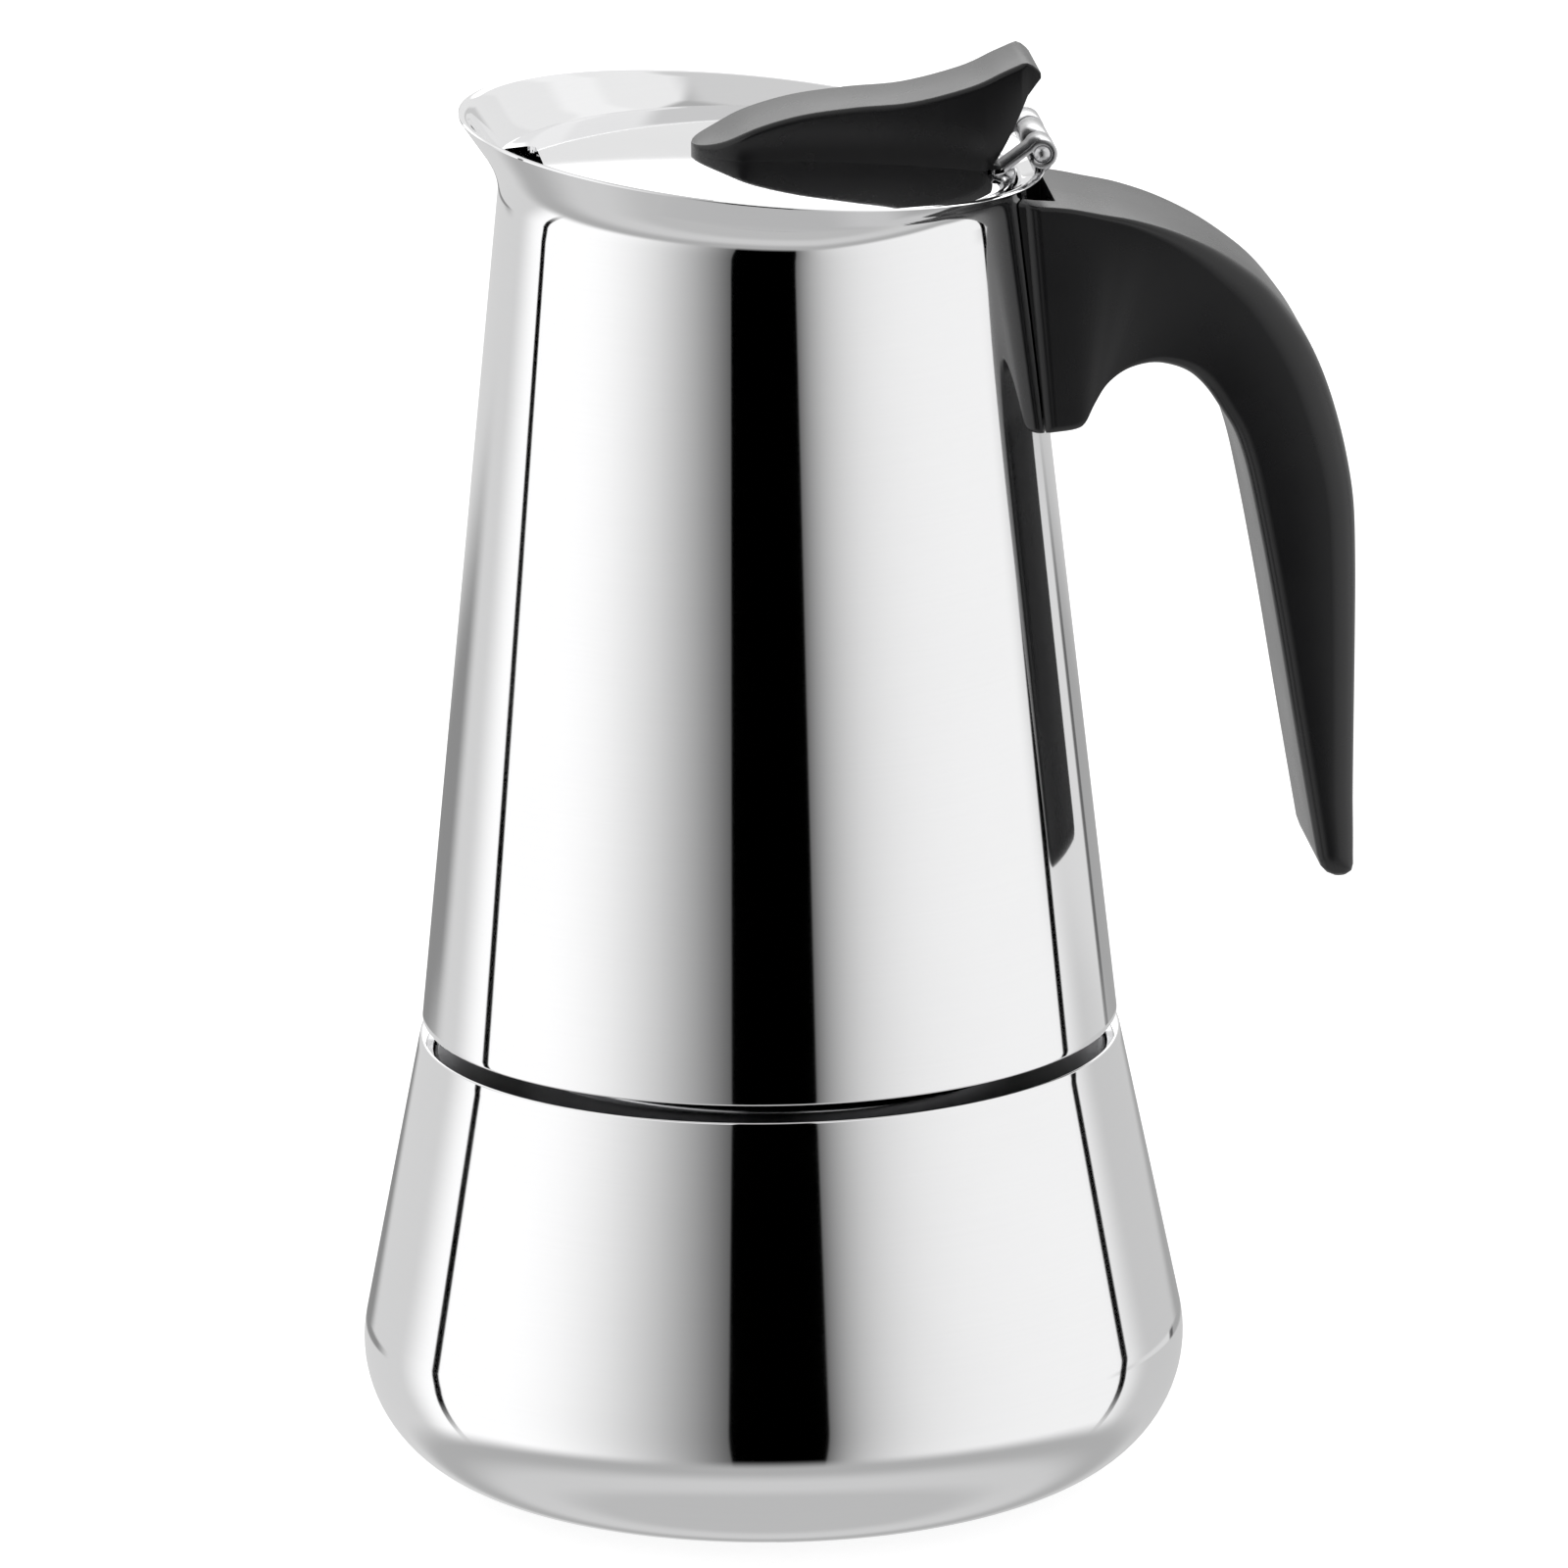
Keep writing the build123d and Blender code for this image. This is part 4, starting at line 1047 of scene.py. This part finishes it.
    def build(self) -> None:
        """Builds the jug's body, floor and riser."""
        self._body()
        self._floor()
        foot, low, top = self.riser_foot, self.floor_high, self.riser_top
        riser = Shape((self.riser_bore, low), (foot, low), (foot, low + 0.6), (foot - 0.2, low + 0.8))
        riser.line((9.6, low + 0.8), (8.8, low + 1.3), (8.55, low + 2.4), (6.0, top), (5.2, top))
        riser.turned(Steps.RISER).piece("riser", "jug", Finish.TURNED, "coffee_column")

    def _body(self) -> None:
        """Builds the shell, from the base edge over the rim and down the inside."""
        shape, rings, steps = Shape(), [], 6
        edge = self.cone_radius(self.foot + self.base_round)
        for step in range(steps + 1):
            angle = math.radians(-90 + (90 + self.taper) * step / steps)
            height = self.foot + self.base_round * (1 + math.sin(angle))
            reach = edge - self.base_round * (1 - math.cos(angle))
            rings.append(shape.oval_ring(tilted(0, height, 0), reach, reach))
        rings += self.wall_rings(shape, 0.0, self.wall_heights)
        rings += [self.ring(shape, self.flare_section(share, inset)) for share, inset in self.rim_edge]
        rings += reversed(self.wall_rings(shape, self.wall, self.wall_heights))
        rings.append(self.ring(shape, self.cone_section(self.foot + 0.3, 0.0, self.wall)))
        shape.bridge(rings, closed=True)
        shape.piece("jug_body", "jug", Finish.MIRROR, "jug_shell", smooth_limit=30.0)

    def _floor(self) -> None:
        """Turns the floor, the threaded collar and the flange under the jug."""
        bore, skirt, base = self.thread_bore, self.thread_bore + self.skirt, self.base
        flange, low, high = base + self.flange_thick, self.floor_low, self.floor_high
        edge = self.cone_radius(flange, self.wall + 0.05)
        shape = Shape((self.riser_bore, low), (bore, low), (bore, base + 0.5), (bore + 0.5, base))
        shape.line((edge - 0.4, base), (edge, base + 0.4), (edge, flange), (skirt + 0.6, flange))
        shape.line((skirt, flange + 0.6), (skirt, high - 0.6), (skirt - 0.6, high), (self.riser_bore, high))
        # the flange seen through the gap above the boiler takes steel darkened as painted shade of that gap
        shape.turned(Steps.BASE).piece("jug_base", "jug", Finish.PAINTED_SHADE, "jug_floor")


# ---------------------------------------------------------------- lid, hinge and knob
@dataclass
class Lid:
    """Domed lid with its leaf, its hinge and the knob."""

    radius: float = 31.0
    offset: float = -0.1
    crown: float = 1.8
    edge: float = 162.3
    tilt: float = 2.0
    wall: float = 0.8
    lip: float = 1.0
    notch_from: float = 26.3
    notch_half: float = 8.0
    notch_corner: float = 1.2
    hinge_x: float = 33.3
    hinge_z: float = 164.2
    pin: float = 1.05
    sheet: float = 0.7
    width: float = 17.6
    slot: float = 8.2
    side_gap: float = 0.3
    tongue_half: float = 4.5
    tongue_stations: Numbers = (12.0, 16.0, 20.0, 24.0)
    strap: Rows = ((32.85, 149.2), (31.8, 159.2), (34.95, 161.4))
    knob_width: float = 12.6
    knob_sink: float = 0.15
    heel: float = 27.0
    # x and z of the knob's crest
    crest: Rows = (
        (-8.2, 165.2), (-5.0, 166.2), (-0.8, 168.0), (4.7, 169.4), (11.2, 170.1), (18.0, 170.5),
        (25.0, 172.1), (29.0, 173.8), (31.3, 174.75),
    )
    # x, highest and lowest z of the rounded end of its tail
    tail: Rows = ((31.9, 174.85, 170.8), (32.5, 174.6, 171.6), (33.1, 174.1, 172.4), (33.5, 173.6, 172.9))

    @property
    def ball(self) -> float:
        """Radius of the sphere that the dome is part of."""
        return (self.radius**2 + self.crown**2) / (2 * self.crown)

    def top(self, x: float) -> float:
        """Height of the lid's upper face on its centre line.

        Args:
            x: place along the centre line.

        Returns:
            The height.
        """
        lean, below = math.radians(self.tilt), self.crown - self.ball
        away = x - (self.offset + below * math.sin(lean))
        return self.edge + below * math.cos(lean) + math.sqrt(self.ball**2 - away**2)

    def build(self) -> None:
        """Builds the lid, its hinge and the knob."""
        self._dome()
        self._leaf()
        self._hinge()
        self._knob()

    def _dome(self) -> None:
        """Turns the dome with its turned-down lip, and cuts the pour notch."""
        radius, centre = self.radius, (0.0, self.crown - self.ball)
        half = math.degrees(math.asin((radius - 0.25) / self.ball))
        shape = Shape((0.0, self.crown)).arc(centre, -half, 14)
        low, within, inner = shape.drawn[-1].co.z, radius - self.wall, self.ball - self.wall
        shape.line((radius - 0.04, low - 0.12), (radius, low - 0.35), (radius, -self.lip))
        shape.line((within, -self.lip), (within, low - self.wall - 0.1))
        inner_half = math.degrees(math.asin((within - 0.3) / inner))
        shape.line(on_circle(centre, inner, 90 - inner_half)).arc(centre, inner_half, 10)
        shape.turned(Steps.SHELL).place(tilted(self.offset, self.edge, self.tilt))
        dome = shape.piece("lid_dome", "lid", Finish.MIRROR, "lid_shell", smooth_limit=25.0)
        reach, rise = (-2 * radius, -self.notch_from), (self.edge - 10.0, self.edge + 10.0)
        carve(dome, Finish.MIRROR, box_cutter(reach, self.notch_half, rise, self.notch_corner))

    def _curl(self, radius: float, start: float, end: float, steps: int) -> list[Point]:
        """Points of an arc round the pin, between two angles in degrees."""
        angles = [start + (end - start) * step / steps for step in range(steps + 1)]
        return [on_circle((self.hinge_x, self.hinge_z), radius, angle) for angle in angles]

    def _leaf(self) -> None:
        """Hinge leaf: a tongue and a foot on the lid, and two straps that curl round the pin."""
        sheet, half, inside, foot = self.sheet, self.width / 2, self.slot / 2, self.heel + 0.3
        start = (foot, self.top(foot) + sheet)
        path = [start, (foot + 0.9, start[1] + 0.1), *self._curl(self.pin + 0.05 + sheet, 150, -150, 26)]
        near, far = bent_sheet(path, -half, -inside, -sheet), bent_sheet(path, inside, half, -sheet)
        near.piece("lid_leaf_near", "lid", Finish.SATIN, "lid_leaf")
        far.piece("lid_leaf_far", "lid", Finish.SATIN)
        tongue = [(x, self.top(x) + sheet) for x in (*self.tongue_stations, foot + 0.7)]
        tongue = bent_sheet(tongue, -self.tongue_half, self.tongue_half, -sheet)
        tongue.piece("lid_leaf_tongue", "lid", Finish.MIRROR)
        cross = bent_sheet([start, (foot + 1.4, self.top(foot) + 1.0)], -half, half, -sheet)
        cross.piece("lid_leaf_foot", "lid", Finish.MIRROR)

    def _hinge(self) -> None:
        """Strap on the jug that curls round the pin, and the pin."""
        half, pin, end = self.slot / 2 - self.side_gap, self.pin, self.width / 2 + self.side_gap
        path = [*self.strap, *self._curl(pin + self.sheet, -20, 250, 24)]
        bracket = bent_sheet(path, -half, half, self.sheet)
        bracket.piece("hinge_strap", "jug", Finish.SATIN, "hinge_bracket")
        rod = Shape((0.0, -end), (0.45, -end + 0.05), (0.8, -end + 0.2), (pin, -end + 0.5))
        rod.line((pin, end - 0.5), (0.8, end - 0.2), (0.45, end - 0.05), (0.0, end))
        place = Matrix.Translation((self.hinge_x, 0, self.hinge_z)) @ Matrix.Rotation(math.pi / 2, 4, "X")
        rod.spin(Steps.RING).place(place).piece("hinge_rod", "jug", Finish.SATIN, "hinge_pin")

    def _knob(self) -> None:
        """Sweeps the moulded knob along its crest, up to its raised tail."""
        shape, rings, half = Shape(), [], self.knob_width / 2
        for x, z in smooth_line(self.crest, 6):
            short = max(half - (x - self.crest[0][0]), 0.0)
            width = math.sqrt(max(half**2 - short**2, 0.01))
            past = max(x - self.heel, 0.0)
            bottom = self.top(min(x, self.heel)) - self.knob_sink + 1.25 * past + 0.13 * past**2
            top_round = min(0.8, 0.45 * (z - bottom), 0.6 * width)
            low_round = min(0.1, 0.3 * (z - bottom), 0.3 * width)
            place = Matrix.Translation((x, 0, 0))
            rings.append(shape.rounded_ring(place, width, bottom, z, low_round, top_round))
        for x, high, low in self.tail:
            rings.append(shape.rounded_ring(Matrix.Translation((x, 0, 0)), half - 0.1, low, high, 0.2, 0.3))
        shape.bridge(rings).piece("lid_knob", "lid", Finish.NYLON, "knob", smooth_limit=40.0)


# ---------------------------------------------------------------- handle
@dataclass
class Handle:
    """Moulded hook handle with a saddle against the jug."""

    saddle_gap: float = 0.15
    notch_x: float = 35.0
    notch_half: float = 7.2
    notch_z: Point = (146.0, 190.0)
    pocket_x: float = 36.5
    pocket_half: float = 6.5
    pocket_z: Point = (134.0, 150.0)
    corner: float = 0.4
    screw_x: float = 43.65
    seat: float = 141.8
    head_room: float = 3.45
    screw_reach: float = 40.0
    half_width: float = 11.0
    # crown x and z, inner x and z, crown corner radius, inner corner radius and, except along
    # the stations, half width
    root: Rows = (
        (25.0, 159.2, 27.0, 129.7, 0.5, 0.8, 10.0),
        (31.0, 158.4, 33.1, 129.9, 0.5, 0.8, 10.0),
        (31.3, 158.35, 33.4, 129.95, 0.5, 0.8, 10.4),
        (31.7, 158.3, 33.8, 130.0, 0.6, 0.9, 10.75),
    )
    stations: Rows = (
        (32.3, 158.2, 34.3, 130.1, 0.6, 0.9),
        (36.2, 157.8, 36.8, 130.4, 0.6, 0.9),
        (40.4, 156.9, 38.0, 131.1, 0.7, 1.0),
        (44.4, 156.0, 39.1, 133.3, 1.0, 1.1),
        (49.0, 154.4, 40.6, 135.7, 1.6, 1.2),
        (53.6, 152.1, 43.0, 137.5, 2.4, 1.3),
        (57.4, 149.5, 46.0, 138.2, 3.1, 1.5),
        (60.4, 146.9, 48.6, 137.8, 3.5, 1.7),
        (63.0, 143.7, 50.9, 136.7, 3.8, 1.9),
        (65.4, 140.0, 52.9, 134.7, 4.0, 2.0),
        (67.4, 135.5, 54.7, 131.9, 4.0, 2.0),
        (69.0, 130.4, 56.3, 129.0, 4.0, 2.0),
        (70.2, 125.0, 57.6, 124.9, 3.8, 2.0),
        (70.95, 119.4, 58.75, 119.4, 3.6, 2.0),
        (71.1, 112.6, 60.0, 112.6, 3.4, 2.0),
        (71.0, 104.0, 61.45, 104.0, 3.2, 2.0),
        (70.8, 94.0, 63.0, 94.0, 3.0, 2.0),
        (70.6, 84.0, 64.6, 84.0, 2.8, 1.9),
        (70.55, 78.5, 65.5, 78.5, 2.5, 1.8),
        (70.5, 75.8, 65.95, 75.8, 2.2, 1.7),
    )
    tip: Rows = (
        (70.45, 74.6, 66.4, 74.5, 1.6, 1.3, 10.8),
        (70.25, 73.8, 67.1, 73.7, 1.2, 1.1, 10.45),
        (69.7, 73.3, 68.0, 73.2, 0.8, 0.8, 9.8),
    )

    def build(self, jug: Jug) -> None:
        """Builds the handle.

        Args:
            jug: the jug that it sits against.
        """
        shape = Shape()
        grip = [(*row, self.half_width) for row in smooth_line(self.stations, 5)]
        shape.bridge([self._ring(shape, row) for row in (*self.root, *grip, *self.tip)])
        piece = shape.piece("handle_grip", "jug", Finish.NYLON, "handle", smooth_limit=38.0)
        notch = box_cutter((0, self.notch_x), self.notch_half, self.notch_z, self.corner)
        pocket = box_cutter((0, self.pocket_x), self.pocket_half, self.pocket_z, self.corner)
        bore = Shape().prism(self.screw_x, self.head_room, self.seat - self.screw_reach, self.seat, 64)
        carve(piece, Finish.NYLON, jug.envelope(self.saddle_gap), notch, pocket, bore)

    def _ring(self, shape: Shape, row: Sequence[float]) -> Ring:
        """One cross section between the crown and the inner side.

        Args:
            shape: the handle.
            row: crown and inner point, both corner radii and half the width.

        Returns:
            The ring's edges.
        """
        crown_x, crown_z, inner_x, inner_z, crown_round, inner_round, half_width = row
        across, side = Vector((crown_x - inner_x, 0, crown_z - inner_z)), Vector((0, 1, 0))
        up, reach = across.normalized(), across.length
        matrix = Matrix((side.cross(up), side, up)).transposed().to_4x4()
        matrix.translation = Vector((inner_x, 0, inner_z))
        rounds = [min(corner, 0.48 * reach) for corner in (inner_round, crown_round)]
        return shape.rounded_ring(matrix, half_width, 0.0, reach, *rounds)


# ---------------------------------------------------------------- CAD pieces that stay
CARRIED = {
    Finish.BRASS: ("valve_nut",),
    Finish.SATIN: ("funnel_screen", "filter_plate", "handle_bracket", "handle_washer", "knob_washers"),
    Finish.TURNED: ("column_cap", "handle_screw", "knob_screws"),
}


def dress_carried() -> None:
    """Gives the CAD pieces that stay their finishes."""
    for finish, names in CARRIED.items():
        for name in names:
            dress(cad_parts[name], finish)
            LOG.info("%s: kept, %s", name, finish.name.lower())


# ---------------------------------------------------------------- studio
@dataclass
class Surround(Bench):
    """Soft white light by direction, with a dark opening at the camera; angles in degrees."""

    camera_azimuth: float = -6.0
    opening_left: float = 12.2
    opening_right: float = 14.5
    opening_edge: float = 0.8
    left_peak: float = 1.06
    right_peak: float = 0.97
    seam: float = 107.8
    seam_right: float = 6.1
    seam_half: float = 1.6
    stripe: float = 149.0
    dome: float = 0.97
    rear_low: float = 0.82
    rear_high: float = 2.1
    rear_side: float = 0.88
    ceiling: float = 0.9
    ceiling_front: float = 0.45
    zenith: float = 0.66
    table_near: float = 0.53
    table: float = 0.64
    table_far: float = 0.45

    def __post_init__(self) -> None:
        """Starts the world, and measures the direction."""
        world = bpy.data.worlds.new("studio")
        bpy.context.scene.world = world
        world.use_nodes = True
        super().__init__(world.node_tree)
        place, angle = self.add("TexCoord").outputs["Generated"], math.radians(-self.camera_azimuth)
        inputs = {"Vector": place, "Angle": angle}
        turned = self.add("VectorRotate", inputs, rotation_type="Z_AXIS").outputs[0]
        x, y, z = self.add("SeparateXYZ", {0: turned}).outputs
        self.azimuth = self.math("DEGREES", self.math("ARCTAN2", x, self.times(y, -1.0)))
        self.height = self.math("DEGREES", self.math("ARCSINE", z))
        self.away = self.math("ABSOLUTE", self.azimuth)
        self.left = self.times(self.azimuth, -1.0)
        self.on_right = self.ramp(self.azimuth, -1.0, 1.0)

    def build(self) -> None:
        """Joins the tones of all directions."""
        edges = ((self.left, self.opening_left), (self.azimuth, self.opening_right))
        clear = [self.ramp(angle, start, start + self.opening_edge) for angle, start in edges]
        clear = self.math("ADD", *clear)
        tone = self._above(self.times(self._sides(), clear, self._rear()), clear)
        shallow = self.ramp(self.height, -50.0, -38.0, self.table, self.table_far)
        steep = self.ramp(self.height, -66.0, -54.0, self.table_near, self.table)
        below = self.ramp(self.height, -36.0, -27.0, 1.0, 0.0)
        tone = self.mix(below, tone, self.math("MINIMUM", shallow, steep))
        joined = self.add("CombineColor", dict.fromkeys(range(3), tone))
        light = self.add("Background", {"Color": joined.outputs[0]})
        self.add("OutputWorld", {"Surface": light.outputs[0]})

    def _sides(self) -> Socket:
        """Tone of the two sides, which brighten away from the camera.

        Returns:
            The tone.
        """
        sweep = self.math("DIVIDE", self.math("SUBTRACT", self.left, 9.0), 76.0, clamp=True)
        left_tone = self.times(self.math("SINE", self.times(sweep, math.pi / 2)), self.left_peak)
        fall = self.math("MAXIMUM", self.math("SUBTRACT", self.azimuth, 12.5), 0.0)
        fall = self.math("EXPONENT", self.math("DIVIDE", fall, -16.0))
        right_tone = self.times(self.math("SUBTRACT", 1.0, fall), self.right_peak)
        return self.mix(self.on_right, self.math("ADD", left_tone, 0.044), right_tone)

    def _rear(self) -> Socket:
        """Share of the sides' tone that is left behind the pot, with two dark seams.

        Returns:
            The share.
        """
        away, height = self.away, self.height
        high = self.ramp(away, 110.0, 130.0, 1.0, 0.62)
        divide = self.math("COSINE", self.math("RADIANS", self.math("DIVIDE", away, 2.0)))
        over = self.math("SUBTRACT", height, self.math("SUBTRACT", self.times(divide, 13.5), 15.2))
        low = self.times(self.ramp(over, -0.1, 0.7, 1.0, 0.0), self.ramp(over, -1.5, -0.9))
        low_left = self.times(high, self.ramp(away, 136.0, 149.0, 1.0, 0.40))
        stripe = self.math("ABSOLUTE", self.math("SUBTRACT", self.azimuth, self.stripe))
        last = self.ramp(away, 146.0, 150.0, 1.0, 0.53)
        beside = self.ramp(stripe, 1.0, 3.0, 0.3)
        low_right = self.times(self.ramp(away, 104.0, 116.0, 1.0, 0.76), last, beside)
        share = self.mix(low, high, self.mix(self.on_right, low_left, low_right))
        climb = self.math("MAXIMUM", self.times(self.math("ADD", height, 8.2), 0.25), 0.0)
        seam = self.mix(self.on_right, self.seam, self.seam + self.seam_right)
        seam = self.math("ADD", self.math("MINIMUM", climb, 1.6), seam)
        off = self.math("ABSOLUTE", self.math("SUBTRACT", away, seam))
        line = self.ramp(off, self.seam_half - 0.4, self.seam_half + 0.4, 1.0, 0.0)
        line = self.times(line, self.ramp(height, -37.0, -14.0))
        return self.times(share, self.math("SUBTRACT", 1.0, line))

    def _above(self, band: Socket, clear: Socket) -> Socket:
        """Tone from the horizon up to the ceiling.

        Args:
            band: tone at the horizon.
            clear: 0 in the dark opening, 1 beside it.

        Returns:
            The tone.
        """
        away, height = self.away, self.height
        front = self.step(height, 12.0, 24.0, band, self.times(clear, self.dome))
        rear = self.step(height, 2.5, 6.0, band, self.rear_low)
        high = self.ramp(away, 150.0, 160.0, self.rear_side, self.rear_high)
        rear = self.step(height, 14.6, 17.3, rear, high)
        rear = self.step(height, 31.0, 36.0, rear, self.dome)
        ceiling = self.ramp(away, 58.0, 66.0, self.ceiling_front, self.ceiling)
        ceiling = self.step(height, 60.0, 66.0, ceiling, self.zenith)
        return self.step(height, 43.0, 47.0, self.step(away, 96.0, 104.0, front, rear), ceiling)


@dataclass
class Floor:
    """Plain pale floor that the pot stands on."""

    size: float = 12.0
    drop: float = 0.0002
    tone: float = 0.6
    glow: float = 0.72

    def build(self) -> None:
        """Builds the floor."""
        shape = Shape()
        bmesh.ops.create_grid(shape.bm, x_segments=1, y_segments=1, size=self.size / 2)
        floor = shape.item("floor", scale=1.0)
        floor.location.z = -self.drop
        floor.visible_glossy = False
        paint = Painter("pale_floor")
        inputs = {
            "Base Color": (*[self.tone] * 3, 1),
            "Roughness": 1.0,
            "Specular IOR Level": 0.0,
            "Emission Color": (1, 1, 1, 1),
            "Emission Strength": self.glow,
        }
        shader = paint.add("BsdfPrincipled", inputs)
        paint.add("OutputMaterial", {"Surface": shader.outputs[0]})
        floor.data.materials.append(paint.material)


@dataclass(frozen=True)
class Camera:
    """Long lens a little above the pot; lengths in millimetres, angles in degrees."""

    azimuth: float = -6.0
    distance: float = 2350.0
    height: float = 721.0
    aim: tuple[float, float, float] = (2.09, 0.0, 84.83)
    roll: float = -0.7
    lens: float = 460.76
    sensor: float = 36.0

    def build(self) -> None:
        """Makes the scene's camera."""
        turn = math.radians(self.azimuth)
        place = Vector((math.sin(turn) * self.distance, -math.cos(turn) * self.distance, self.height))
        data = bpy.data.cameras.new("camera")
        data.sensor_width, data.lens = self.sensor, self.lens
        data.clip_start, data.clip_end = 0.1, 50.0
        camera = bpy.data.objects.new("camera", data)
        facing = (Vector(self.aim) - place).normalized().to_track_quat("-Z", "Y").to_matrix().to_4x4()
        roll = Matrix.Rotation(math.radians(self.roll), 4, "Z")
        camera.matrix_world = Matrix.Translation(place * MM) @ facing @ roll
        bpy.context.scene.collection.objects.link(camera)
        bpy.context.scene.camera = camera


def main() -> None:
    """Builds the studio and the camera, then the pot."""
    logging.basicConfig(level=logging.INFO, format="%(name)s: %(message)s")
    view = bpy.context.scene.view_settings
    view.view_transform, view.look = "Standard", "None"
    boiler, jug = Boiler(), Jug()
    for part in (Surround(), Floor(), Camera(), boiler):
        part.build()
    SafetyValve().build(boiler)
    Funnel().build()
    jug.build()
    Lid().build()
    Handle().build(jug)
    dress_carried()


if __name__ == "__main__":
    main()
